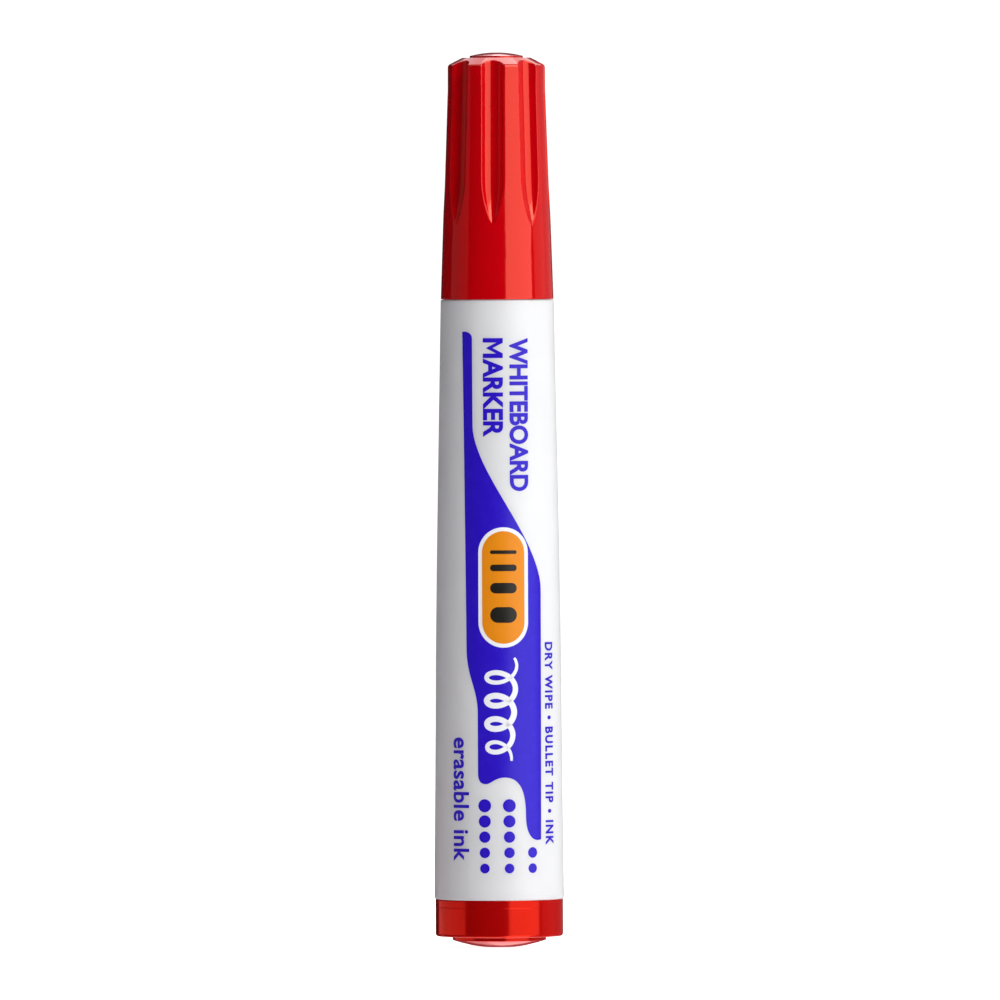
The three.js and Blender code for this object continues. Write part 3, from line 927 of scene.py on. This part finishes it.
def on_barrel(sizes, x, z, lift):
    """The place on the barrel of a point of the flat print."""
    radius = barrel_radius(sizes, z)
    turn = x / radius
    return Vector(((radius + lift) * math.sin(turn), -(radius + lift) * math.cos(turn), z))


def print_piece(name, work, lift, material):
    """Lays a flat print on the barrel as a thin closed film of ink that rides on the body."""
    sizes = bpy.context.scene.marker_barrel
    cut_flat(work, 0, PRINT_CUT)
    cut_flat(work, 1, PRINT_CUT_LONG)
    bmesh.ops.triangulate(work, faces=work.faces)
    work.verts.ensure_lookup_table()
    flat = [v.co.copy() for v in work.verts]
    faces = [[v.index for v in f.verts] for f in work.faces]
    rims = [[loop.vert.index, loop.link_loop_next.vert.index]
            for e in work.edges if e.is_boundary for loop in e.link_loops]
    work.free()
    total = len(flat)
    top = [on_barrel(sizes, p.x, p.y, lift) for p in flat]
    under = [on_barrel(sizes, p.x, p.y, -lift) for p in flat]
    faces_under = [[i + total for i in reversed(f)] for f in faces]
    sides = [(b, a, a + total, b + total) for a, b in rims]
    mesh = bpy.data.meshes.new(name)
    mesh.from_pydata([*top, *under], [], [*faces, *faces_under, *sides])
    mesh.materials.append(material)
    mesh.shade_smooth()
    mesh.set_sharp_from_angle(angle=SMOOTH_LIMIT)
    piece = add_object(name, mesh)
    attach(piece, "body")
    return piece


# ---- Operators, one for each piece or group of like pieces ----

class MARKER_OT_barrel(bpy.types.Operator):
    """Build the barrel with its neck, bead, nose and vents"""
    bl_idname = "marker.barrel"
    bl_label = "Barrel"

    def execute(self, context):
        sizes, colours = context.scene.marker_barrel, context.scene.marker_colours
        piece = turned_piece(
            "barrel_body", self.points(sizes), True, sizes.vent_count, barrel_finish(colours),
        )
        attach(piece, "body")
        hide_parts("barrel")
        return {"FINISHED"}

    def outside(self, sizes):
        steps, margin = 40, 0.8 * MM
        heights = np.linspace(SEAM_Z + margin, SHOULDER_Z - margin, steps)
        return [(barrel_radius(sizes, z), z, 0) for z in heights]

    def bead(self, sizes):
        middle = (SHOULDER_Z + NECK_TOP_Z) / 2
        low, high = middle - sizes.bead_width / 2, middle + sizes.bead_width / 2
        return [
            (sizes.neck_radius, low, 0.3 * MM),
            (sizes.neck_radius + sizes.bead_rise, middle, 1.5 * MM),
            (sizes.neck_radius, high, 0.3 * MM),
        ]

    def nose(self, sizes):
        tip = BARREL_HIGH.z
        return [
            (sizes.neck_radius, NECK_TOP_Z, 0.25 * MM),
            (sizes.nose_radius, NOSE_BASE_Z, 0.25 * MM),
            (sizes.nose_radius, NOSE_TAPER_Z, 0.6 * MM),
            (NOSE_TIP_RADIUS, tip, 0.15 * MM),
            (NIB_HOLE, tip, 0.08 * MM),
            (NIB_HOLE, NIB_GRIP_Z, 0.3 * MM),
            (NECK_BORE, NIB_LEAD_Z, 0.2 * MM),
        ]

    def path(self, sizes):
        edge = sizes.edge_round
        return rounded([
            (SOCKET_RADIUS, SEAM_Z, 0.12 * MM),
            (sizes.rear_radius, SEAM_Z, edge),
            *self.outside(sizes),
            (sizes.front_radius, SHOULDER_Z, edge),
            (sizes.neck_radius, SHOULDER_Z, 0.15 * MM),
            *self.bead(sizes),
            *self.nose(sizes),
            (NECK_BORE, RESERVOIR_STOP_Z, 0.1 * MM),
            (FRONT_BORE, RESERVOIR_STOP_Z, 0.1 * MM),
            (REAR_BORE, SOCKET_CONE_Z, 0.2 * MM),
            (SOCKET_RADIUS, SOCKET_TOP_Z, 0.1 * MM),
        ], True)

    def points(self, sizes):
        """Rows of one sector, whose middle columns follow a vent inside the nose."""
        path = np.array(self.path(sizes))
        sector = math.tau / sizes.vent_count
        half, floor = sizes.vent_width / 2, NIB_HOLE + sizes.vent_depth
        foot, brink = math.asin(half / floor), math.asin(half / NIB_HOLE)
        land = np.linspace(brink, sector / 2, 19)
        angles = np.concatenate([-land[::-1], np.linspace(-foot, foot, 9), land])
        radii = np.repeat(path[:, :1], len(angles), axis=1)
        tip = int(np.argmax(path[:, 1] - path[:, 0] * 1e-3))
        inside = (np.arange(len(path)) >= tip) & (path[:, 1] > VENT_FOOT_Z)
        in_vent = np.abs(angles) <= foot + 1e-9
        cut = np.maximum(radii, floor / np.cos(angles)[None, :])
        chosen = inside[:, None] & in_vent[None, :]
        radii = np.where(chosen, cut, radii)
        heights = np.repeat(path[:, 1:], len(angles), axis=1)
        return polar_points(radii, heights, np.repeat(angles[None, :], len(path), axis=0))


class MARKER_OT_inside(bpy.types.Operator):
    """Build the nib, the reservoir's fibre core and its film sleeve"""
    bl_idname = "marker.inside"
    bl_label = "Nib and reservoir"

    def execute(self, context):
        sizes, colours = context.scene.marker_inside, context.scene.marker_colours
        self.add(lathe("nib_rod", self.nib(sizes), False, nib_finish(colours)), "nib", "nib_fibre")
        self.add(lathe("reservoir_fibre", self.core(sizes), False, core_finish(colours)),
                 "reservoir_core", "reservoir_fibre")
        self.add(lathe("reservoir_sleeve", self.sleeve(sizes), True, film_finish(colours)),
                 "reservoir_film", "film")
        return {"FINISHED"}

    def add(self, piece, node, slot):
        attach(piece, "body")
        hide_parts(node)

    def nib(self, sizes):
        radius, point, slope = sizes.nib_radius, sizes.point_radius, sizes.point_slope
        middle = NIB_HIGH.z - point
        cone_top = middle + point * math.sin(slope)
        cone_height = (radius - point * math.cos(slope)) / math.tan(slope)
        tip = []
        for k in range(POINT_STEPS + 1):
            turn = slope + (math.pi / 2 - slope) * k / POINT_STEPS
            radius_here = point * math.cos(turn) if k < POINT_STEPS else 0
            tip.append((radius_here, middle + point * math.sin(turn), 0))
        return [
            (0, NIB_LOW.z, 0),
            (radius - sizes.tail_bevel, NIB_LOW.z, 0.05 * MM),
            (radius, NIB_LOW.z + sizes.tail_bevel, 0.1 * MM),
            (radius, cone_top - cone_height, 1.2 * MM),
            *tip,
        ]

    def core(self, sizes):
        radius, seat = CORE_HIGH.x, CORE_HIGH.z - NIB_SEAT_DEPTH
        return [
            (0, CORE_LOW.z, 0),
            (radius, CORE_LOW.z, 0.15 * MM),
            (radius, CORE_HIGH.z, 0.15 * MM),
            (NIB_HOLE, CORE_HIGH.z, 0.1 * MM),
            (NIB_HOLE, seat, 0.1 * MM),
            (0, seat, 0),
        ]

    def sleeve(self, sizes):
        outer, soft = FILM_HIGH.x, 0.04 * MM
        inner = outer - sizes.film_thickness
        return [
            (inner, FILM_LOW.z, soft), (outer, FILM_LOW.z, soft),
            (outer, FILM_HIGH.z, soft), (inner, FILM_HIGH.z, soft),
        ]


class MARKER_OT_plug(bpy.types.Operator):
    """Build the end plug and the ribs inside it"""
    bl_idname = "marker.plug"
    bl_label = "End plug"

    def execute(self, context):
        sizes, colours = context.scene.marker_plug, context.scene.marker_colours
        finish = plug_finish(colours)
        plug = lathe("plug_body", self.outline(sizes), False, finish)
        ribs = turned_piece("plug_ribs", self.rib(sizes), True, sizes.rib_count, finish)
        for piece in (plug, ribs):
            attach(piece, "body")
            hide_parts("end_plug")
        return {"FINISHED"}

    def outline(self, sizes):
        underside = sizes.dome_height + sizes.boss_side
        crown = dome(sizes.boss_radius, sizes.flat_radius, 0, sizes.dome_height, DOME_STEPS)
        crown = [(r, sizes.dome_height - z, 0) for r, z, _ in crown][::-1]
        crown[-1] = (*crown[-1][:2], 0.12 * MM)
        parting = SEAM_Z - sizes.parting_height
        depth, soft = sizes.parting_depth, 0.03 * MM
        hollow = sizes.skirt_radius - PLUG_SKIRT_WALL
        return [
            (0, 0, 0),
            *crown,
            (sizes.boss_radius, underside, 0.15 * MM),
            (sizes.radius, underside, sizes.corner_round),
            (sizes.radius, parting - 2 * depth, soft),
            (sizes.radius - depth, parting, soft),
            (sizes.radius, parting + 2 * depth, soft),
            (sizes.radius, SEAM_Z, 0.12 * MM),
            (sizes.skirt_radius, SEAM_Z, 0.05 * MM),
            (sizes.skirt_radius, PLUG_HIGH.z - 0.6 * MM, 0.1 * MM),
            (sizes.skirt_radius - 0.3 * MM, PLUG_HIGH.z, 0.1 * MM),
            (hollow, PLUG_HIGH.z, 0.1 * MM),
            (hollow, PLUG_FLOOR_Z, 0.4 * MM),
            (0, PLUG_FLOOR_Z, 0),
        ]

    def rib(self, sizes):
        """One rib, from the axis outwards, as a closed loop of four long edges."""
        reach = sizes.skirt_radius - PLUG_SKIRT_WALL / 2
        half, low, high = sizes.rib_thickness / 2, PLUG_FLOOR_Z - 0.4 * MM, PLUG_HIGH.z
        corners = [(-half, low), (half, low), (half, high), (-half, high)]
        stations = [0, reach / 2, reach]
        return np.array([[(x, y, z) for x in stations] for y, z in corners])


class MARKER_OT_cap(bpy.types.Operator):
    """Build the cap shell, whose outside is cut by pointed flutes"""
    bl_idname = "marker.cap"
    bl_label = "Cap"

    def execute(self, context):
        sizes, colours = context.scene.marker_cap, context.scene.marker_colours
        piece = turned_piece(
            "cap_body", self.points(sizes), False, sizes.flute_count,
            cap_finish(colours), sizes.flute_turn,
        )
        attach(piece, "cap_outer")
        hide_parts("cap_shell")
        return {"FINISHED"}

    def inside(self):
        return [
            (0, CAP_ROOF_Z, 0),
            (CAP_BORE, CAP_ROOF_Z, 0.25 * MM),
            (CAP_BORE, CAP_STEP_Z, 0.15 * MM),
            (SKIRT_BORE, CAP_STEP_Z - CAP_STEP_RISE, 0.2 * MM),
            (SKIRT_BORE, CAP_LOW.z, 0.15 * MM),
        ]

    def taper(self, sizes):
        """Radius that the wall loses over each unit of height."""
        return (sizes.rim_radius - sizes.taper_radius) / sizes.taper_length

    def side(self, sizes):
        """The tapered wall, in rows that are close together where the flutes come to their points."""
        rim, full = CAP_LOW.z, CAP_LOW.z + sizes.flute_full_height
        point, top = full - sizes.flute_point_length, rim + sizes.taper_length
        heights = np.concatenate([
            np.linspace(rim + 0.6 * MM, point - 0.2 * MM, 9)[:-1],
            np.linspace(point - 0.2 * MM, full, 34)[:-1],
            np.linspace(full, top, 12),
        ])
        return [(sizes.rim_radius - self.taper(sizes) * (z - rim), z, 0) for z in heights]

    def crown(self, sizes):
        """The straight top of the wall, the rounded corner and the slope, with the ring's height."""
        ring = CAP_HIGH.z - sizes.disc_rise - sizes.disc_side
        foot = sizes.top_radius - sizes.corner_round * (1 - math.sin(sizes.crown_slope))
        foot_z = ring - (foot - sizes.ring_radius) * math.tan(sizes.crown_slope)
        middle_z = foot_z - sizes.corner_round * math.cos(sizes.crown_slope)
        wall = np.linspace(CAP_LOW.z + sizes.taper_length + MM, middle_z - HOLD, 6)
        rows = [(sizes.top_radius, z, 0) for z in wall]
        sweep = math.pi / 2 - sizes.crown_slope
        for k in range(SHOULDER_STEPS + 1):
            turn = sweep * k / SHOULDER_STEPS
            rows.append((sizes.top_radius - sizes.corner_round * (1 - math.cos(turn)),
                         middle_z + sizes.corner_round * math.sin(turn), 0))
        for k in range(1, SLOPE_STEPS):
            r = foot + (sizes.ring_radius - foot) * k / SLOPE_STEPS
            rows.append((r, foot_z + (foot - r) * math.tan(sizes.crown_slope), 0))
        return rows, ring

    def top(self, sizes, ring):
        """The flat ring, the raised disc with its domed top, and the gate's dimple."""
        gate = 0.55 * MM
        edge = dome(sizes.disc_radius, 0, ring + sizes.disc_side, sizes.disc_rise, DISC_STEPS)
        edge = [(r, z, 0) for r, z, _ in edge if r > 1.4 * gate]
        edge[0] = (*edge[0][:2], 0.1 * MM)
        return [
            (sizes.ring_radius, ring, 0.2 * MM),
            (sizes.disc_radius, ring, 0.06 * MM),
            *edge,
            (gate, CAP_HIGH.z - 0.01 * MM, 0.06 * MM),
            (gate * 0.8, CAP_HIGH.z - 0.12 * MM, 0.05 * MM),
            (0, CAP_HIGH.z - 0.1 * MM, 0),
        ]

    def points(self, sizes):
        """Rows of one sector with a flute down its middle, from the roof inside round to the crown."""
        crown, ring = self.crown(sizes)
        corners = [*self.inside(), (sizes.rim_radius, CAP_LOW.z, sizes.rim_round),
                   *self.side(sizes), *crown, *self.top(sizes, ring)]
        path = np.array(rounded(corners, False))
        outer_from = int(np.argmax(path[:, 0]))
        slopes = np.gradient(path, axis=0)
        facing = slopes[:, 1] / np.maximum(np.hypot(slopes[:, 0], slopes[:, 1]), 1e-9)
        grid = []
        for i, (r, z) in enumerate(path):
            angles = self.columns(sizes, r, z, i >= outer_from)
            radii = np.full(len(angles), r)
            if i >= outer_from:
                radii = self.fluted(sizes, r, z, max(facing[i], 0.0), angles)
            grid.append(polar_points(radii, np.full(len(angles), z), angles))
        return np.array(grid)

    def cutter(self, sizes, z):
        """Distance of the flute's cutting rod from the axis at a height, and the rod's radius there."""
        half = sizes.flute_width / 2
        full = sizes.flute_full_height
        taper = self.taper(sizes)
        surface = sizes.rim_radius - taper * full
        chord = sizes.flute_depth - self.drop(surface, half)
        rod = (half ** 2 + chord ** 2) / (2 * chord)
        outside = rod - sizes.flute_depth
        above = z - CAP_LOW.z - full
        below = max(0.0, -above / sizes.flute_point_length)
        width = half * (1 - min(below, 1.0) ** 2)
        radius = math.hypot(outside + self.drop(surface, width), width)
        radius = max(radius - max(below - 1, 0) * sizes.flute_point_length, 0)
        return surface + outside - taper * above, radius

    def drop(self, surface, width):
        """How far a chord of half-width `width` lies inside a circle of radius `surface`."""
        return surface - math.sqrt(surface ** 2 - width ** 2)

    def columns(self, sizes, r, z, outside):
        """Angles of a row's columns, drawn together at the flute's edges where it has one."""
        sector = math.pi / sizes.flute_count
        plain, closest = sector * 0.5, math.radians(0.8)
        edge, soft = plain, sector * 0.12
        if outside:
            away, rod = self.cutter(sizes, z)
            cosine = (r * r + away * away - rod * rod) / max(2 * r * away, 1e-12)
            edge = math.acos(min(cosine, 1.0))
            point = CAP_LOW.z + sizes.flute_full_height - sizes.flute_point_length
            past = max((point - z) / (4 * MM), (5.9 * MM - r) / MM, 0.0)
            edge = max(edge, closest + (plain - closest) * min(past, 1.0))
            soft = min(sector * 0.12, edge * 0.6)
        half = np.concatenate([
            np.linspace(0, edge - soft, 8)[:-1], np.linspace(edge - soft, edge + soft, 11)[:-1],
            np.linspace(edge + soft, sector, 7),
        ])
        return np.concatenate([-half[:0:-1], half])

    def fluted(self, sizes, r, z, facing, angles):
        """The row's radii after the flute is cut, found by halving, with softened edges."""
        away, rod = self.cutter(sizes, z)
        outside = away - (sizes.rim_radius - self.taper(sizes) * (z - CAP_LOW.z))
        soft = max(min(sizes.flute_edge, 0.9 * (rod - outside)), 1e-7)
        low, high = np.zeros(len(angles)), np.full(len(angles), min(r, DEEPEST_CUT))
        for _ in range(HALVINGS):
            inset = (low + high) / 2
            gap = rod - np.hypot((r - inset) * np.cos(angles) - away, (r - inset) * np.sin(angles))
            skin = -inset * max(facing, 0.15)
            blend = np.maximum(soft - np.abs(gap - skin), 0) / soft
            outward = np.maximum(gap, skin) + blend * blend * soft / 4 > 0
            low, high = np.where(outward, inset, low), np.where(outward, high, inset)
        return r - low


class MARKER_OT_liner(bpy.types.Operator):
    """Build the sealing liner inside the cap"""
    bl_idname = "marker.liner"
    bl_label = "Liner"

    def execute(self, context):
        outer = LINER_HIGH.x
        inside = LINER_HIGH.z - LINER_ROOF
        piece = lathe("liner_cup", [
            (0, inside, 0),
            (LINER_BORE, inside, 0.3 * MM),
            (LINER_BORE, LINER_LOW.z, 0.2 * MM),
            (outer, LINER_LOW.z, 0.1 * MM),
            (outer, LINER_HIGH.z, 0.15 * MM),
            (0, LINER_HIGH.z, 0),
        ], False, liner_finish(context.scene.marker_colours))
        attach(piece, "cap_inner")
        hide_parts("cap_liner")
        return {"FINISHED"}


class MARKER_OT_panel_print(bpy.types.Operator):
    """Print the blue panel with its narrow strip and its tail"""
    bl_idname = "marker.panel_print"
    bl_label = "Printed panel"

    def execute(self, context):
        sizes = context.scene.marker_print
        left, strip, right = -sizes.strip_left, -sizes.strip_right, sizes.panel_right
        outline = [(x * MM, y * MM) for x, y in self.outline(left / MM, strip / MM, right / MM)]
        blue = blue_ink(context.scene.marker_colours)
        print_piece("print_panel", flat_shape(outline), sizes.ink_rise, blue)
        return {"FINISHED"}

    def outline(self, left, strip, right):
        """The panel's outline in millimetres, from its left foot up the left edge and round."""
        inner = -3.25
        return [
            *bezier((inner, 36), (inner, 40), (left + 0.35, 41.5), (left + 0.35, 46)),
            *bezier((left + 0.35, 46), (left + 0.2, 62), (left, 78), (left - 0.3, 94.3), 12),
            (left - 0.3, 94.3),
            *bezier((left + 0.1, 94.35), (left + 0.8, 94.3), (strip - 0.05, 94), (strip - 0.05, 93.3), 8),
            (strip - 0.05, 93.3),
            *bezier((strip, 80), (strip, 73.6), (right, 61), (right, 55)),
            *bezier((right, 55), (right - 0.02, 40), (right - 0.1, 25), (right - 0.15, 16.7), 12),
            *bezier((right - 0.15, 16.7), (right - 1.3, 16.3), (4.25, 16.8), (4.25, 20.5)),
            *bezier((4.25, 20.5), (4.25, 23.4), (3.6, 26.2), (0.9, 26.2)),
            *bezier((0.9, 26.2), (-0.6, 26.2), (-1.2, 25.2), (-2, 25.2), 10),
            *bezier((-2, 25.2), (-2.9, 25.2), (inner, 25.8), (inner, 27), 10),
        ]


class MARKER_OT_words(bpy.types.Operator):
    """Print the generic lettering"""
    bl_idname = "marker.words"
    bl_label = "Lettering"

    def execute(self, context):
        sizes = context.scene.marker_print
        blue = blue_ink(context.scene.marker_colours)
        for name, words, weight, spacing, baseline, top, run, tall in LINES:
            work = flat_words(words, weight, spacing)
            set_reading_down(work, baseline * MM, top * MM, run * MM, getattr(sizes, tall))
            print_piece(name, work, sizes.ink_rise, blue)
        return {"FINISHED"}


class MARKER_OT_badge(bpy.types.Operator):
    """Print the orange badge with its line-width bars, and the white flourish under it"""
    bl_idname = "marker.badge"
    bl_label = "Badge and flourish"

    def execute(self, context):
        sizes, colours = context.scene.marker_print, context.scene.marker_colours
        border, rise = 2 * sizes.badge_border, sizes.ink_rise
        wide, tall = sizes.badge_width, sizes.badge_length
        white = white_ink(colours)
        edge = flat_shape(stadium(BADGE_MIDDLE, wide + border, tall + border))
        print_piece("print_badge_border", edge, rise * BORDER_LIFT, white)
        badge = flat_shape(stadium(BADGE_MIDDLE, wide, tall))
        print_piece("print_badge", badge, rise * BADGE_LIFT, orange_ink(colours))
        self.bars(rise * BAR_LIFT, black_ink(colours))
        print_piece("print_flourish", self.flourish(), rise * BORDER_LIFT, white)
        return {"FINISHED"}

    def bars(self, lift, material):
        """Four bars that show line widths, from fine to broad."""
        for name, up, thick in BARS:
            middle = (BADGE_MIDDLE[0], BADGE_MIDDLE[1] + up * MM)
            shape = stadium(middle, BAR_WIDTH, thick * MM)
            print_piece("print_bar_" + name, flat_shape(shape), lift, material)

    def flourish(self):
        """A looping pen line down the panel, broad in the middle and fine at its ends."""
        loops, steps = 4.12, 220
        points, widths = [], []
        for i in range(steps + 1):
            t = i / steps
            turn = math.tau * loops * t - 0.6
            swing = 2.35 - 0.5 * t
            points.append(((0.5 + swing * math.cos(turn) - 0.4 * t) * MM,
                           (43.6 - 14.6 * t - 1.55 * math.sin(turn)) * MM))
            widths.append((0.36 + 0.56 * math.sin(math.pi * t) ** 0.6) * MM)
        return flat_stroke(points, widths)


class MARKER_OT_dots(bpy.types.Operator):
    """Print the grid of dots"""
    bl_idname = "marker.dots"
    bl_label = "Dots"

    def execute(self, context):
        sizes, colours = context.scene.marker_print, context.scene.marker_colours
        ink_used = blue_ink(colours)
        grid = add_object("print_dots_flat", bpy.data.meshes.new("print_dots_flat"))
        wide, tall = DOT_PITCH * (sizes.dot_columns - 1), DOT_FALL * (sizes.dot_rows - 1)
        mesh = apply_tree(grid, dot_tree(), {
            "Columns": sizes.dot_columns, "Rows": sizes.dot_rows, "Width": wide, "Height": tall,
            "Dot Radius": sizes.dot_radius, "Foot Share": 0.75, "Covered Past": wide / 4,
            "Covered Above": -0.2 * tall, "Finish": ink_used,
        })
        work = bmesh.new()
        work.from_mesh(mesh)
        bmesh.ops.translate(work, verts=work.verts, vec=DOTS_MIDDLE)
        bpy.data.objects.remove(grid)
        print_piece("print_dots", work, sizes.ink_rise, ink_used)
        return {"FINISHED"}


class MARKER_OT_stage(bpy.types.Operator):
    """Set up the pale floor, the soft studio light and the camera"""
    bl_idname = "marker.stage"
    bl_label = "Stage"

    def execute(self, context):
        scene = context.scene
        scene.view_settings.view_transform = "Standard"
        self.floor()
        self.surround(scene)
        self.lights()
        self.camera(scene)
        return {"FINISHED"}

    def floor(self):
        work = bmesh.new()
        bmesh.ops.create_circle(work, cap_ends=True, segments=96, radius=1.6)
        bmesh.ops.translate(work, verts=work.verts, vec=Vector((0, 0, FLOOR_Z)))
        mesh = bpy.data.meshes.new("floor")
        work.to_mesh(mesh)
        work.free()
        mesh.materials.append(self.pale())
        floor = add_object("floor", mesh)
        floor.visible_glossy = False
        floor.visible_shadow = False

    def pale(self):
        """Pale floor paint, lifted to white where the camera sees it."""
        material = bpy.data.materials.new("pale floor")
        material.use_nodes = True
        tree = material.node_tree
        tree.nodes.clear()
        paint = add_node(tree, "ShaderNodeBsdfDiffuse", {"Color": (0.8, 0.8, 0.82, 1)})
        glow = add_node(tree, "ShaderNodeEmission", {"Color": rgba(WHITE_LIGHT), "Strength": 0.95})
        seen = add_node(tree, "ShaderNodeAddShader", {0: paint.outputs[0], 1: glow.outputs[0]})
        path = add_node(tree, "ShaderNodeLightPath")
        mix = add_node(tree, "ShaderNodeMixShader", {
            0: path.outputs["Is Camera Ray"], 1: paint.outputs[0], 2: seen.outputs[0],
        })
        add_node(tree, "ShaderNodeOutputMaterial", {"Surface": mix.outputs[0]})
        return material

    def surround(self, scene):
        """White behind the marker, with a dim cool fill on matt surfaces and less in reflections."""
        world = bpy.data.worlds.new("studio")
        world.use_nodes = True
        tree = world.node_tree
        tree.nodes.clear()
        path = add_node(tree, "ShaderNodeLightPath")
        cool, plain = (0.86, 0.9, 1, 1), rgba(WHITE_LIGHT)
        fill, white, dark = (
            add_node(tree, "ShaderNodeBackground", {"Color": tint, "Strength": strength}).outputs[0]
            for tint, strength in ((cool, 0.02), (plain, 1.1), (cool, 0.01))
        )
        matt = add_node(tree, "ShaderNodeMixShader", {0: path.outputs["Is Glossy Ray"], 1: fill, 2: dark})
        mix = add_node(tree, "ShaderNodeMixShader", {
            0: path.outputs["Is Camera Ray"], 1: matt.outputs[0], 2: white,
        })
        add_node(tree, "ShaderNodeOutputWorld", {"Surface": mix.outputs[0]})
        scene.world = world

    def lights(self):
        """Tall soft panels, slanting lights in pairs, a strip for the plug and two lids."""
        for panel in PANELS:
            self.upright(*panel, away=1.2, tall=3.0, height=cad_box[1].z / 2)
        for name, turn, rise, above, below, tint in SLANTS:
            self.slant("high " + name, turn, rise, above, tint)
            self.slant("low " + name, turn, -rise, below, tint)
        strip_tall = 0.04
        self.upright("plug strip", -64, -140, 1.1, ROSE_LIGHT, 0.3, strip_tall, 0.001 - strip_tall / 2)
        self.lid("top panel", 1.1, 0.6)
        self.lid("low panel", -1.1, 1.5)

    def upright(self, name, start, end, radiance, tint, away, tall, height):
        """An upright light that spans the angles from `start` to `end`; the walls mirror it."""
        wide = 2 * away * math.tan(math.radians(abs(end - start)) / 2)
        turn = math.radians((start + end) / 2)
        place = Vector((away * math.sin(turn), -away * math.cos(turn), height))
        self.area(name, place, wide, tall, radiance, tint, height)

    def slant(self, name, turn, rise, radiance, tint):
        """A square light above or below the marker, which lights its walls unseen in them."""
        turn, rise, away, side = math.radians(turn), math.radians(rise), 1.3, 0.9
        flat = away * math.cos(rise)
        height = cad_box[1].z / 2 + away * math.sin(rise)
        place = Vector((flat * math.sin(turn), -flat * math.cos(turn), height))
        self.area(name, place, side, side, radiance, tint, cad_box[1].z / 2)

    def lid(self, name, height, radiance):
        side = 1.4
        middle = cad_box[1].z / 2
        self.area(name, Vector((0, 0, height)), side, side, radiance, COOL_LIGHT, middle)

    def area(self, name, place, wide, tall, radiance, tint, aim_height):
        data = bpy.data.lights.new(name, "AREA")
        data.shape = "RECTANGLE"
        data.size, data.size_y = wide, tall
        data.energy = radiance * math.pi * wide * tall
        data.color = tint
        light = add_object(name, data)
        light.location = place
        aim = Vector((0, 0, aim_height)) - place
        light.rotation_mode = "QUATERNION"
        light.rotation_quaternion = aim.to_track_quat("-Z", "Y")
        light.visible_camera = False

    def camera(self, scene):
        """A long lens a little above the marker, with a slight roll."""
        low, high = cad_box
        aim = Vector((0, 0, (low.z + high.z) / 2)) + Vector(CAMERA_AIM)
        data = bpy.data.cameras.new("camera")
        data.lens = CAMERA_LENS
        data.sensor_width = 36
        camera = add_object("camera", data)
        camera.location = aim + Vector((0, -math.cos(CAMERA_RISE), math.sin(CAMERA_RISE))) * CAMERA_AWAY
        look = (aim - camera.location).to_track_quat("-Z", "Y").to_matrix().to_4x4()
        camera.rotation_mode = "QUATERNION"
        camera.rotation_quaternion = (look @ Matrix.Rotation(CAMERA_ROLL, 4, "Z")).to_quaternion()
        scene.camera = camera


class MARKER_PT_sidebar(bpy.types.Panel):
    """Lists the marker's builders and their sizes"""
    bl_idname = "MARKER_PT_sidebar"
    bl_label = "Whiteboard marker"
    bl_space_type = "VIEW_3D"
    bl_region_type = "UI"
    bl_category = "Marker"

    def draw(self, context):
        for operator in OPERATORS:
            self.layout.operator(operator.bl_idname)
        for place, group in GROUPS.items():
            box = self.layout.box()
            box.label(text=group.__doc__)
            for field in group.__annotations__:
                box.prop(getattr(context.scene, place), field)


GROUPS = {
    "marker_barrel": BarrelSizes,
    "marker_inside": InsideSizes,
    "marker_plug": PlugSizes,
    "marker_cap": CapSizes,
    "marker_print": PrintSizes,
    "marker_colours": MarkerColours,
}

OPERATORS = (
    MARKER_OT_stage, MARKER_OT_barrel, MARKER_OT_inside, MARKER_OT_plug, MARKER_OT_cap, MARKER_OT_liner,
    MARKER_OT_panel_print, MARKER_OT_words, MARKER_OT_badge, MARKER_OT_dots,
)


def register():
    for group in GROUPS.values():
        bpy.utils.register_class(group)
    for place, group in GROUPS.items():
        setattr(bpy.types.Scene, place, bpy.props.PointerProperty(type=group))
    for operator in OPERATORS:
        bpy.utils.register_class(operator)
    bpy.utils.register_class(MARKER_PT_sidebar)


def unregister():
    bpy.utils.unregister_class(MARKER_PT_sidebar)
    for operator in reversed(OPERATORS):
        bpy.utils.unregister_class(operator)
    for place, group in GROUPS.items():
        delattr(bpy.types.Scene, place)
        bpy.utils.unregister_class(group)


def main():
    register()
    bpy.ops.marker.stage()
    bpy.ops.marker.barrel()
    bpy.ops.marker.inside()
    bpy.ops.marker.plug()
    bpy.ops.marker.cap()
    bpy.ops.marker.liner()
    bpy.ops.marker.panel_print()
    bpy.ops.marker.words()
    bpy.ops.marker.badge()
    bpy.ops.marker.dots()


if __name__ == "__main__":
    main()
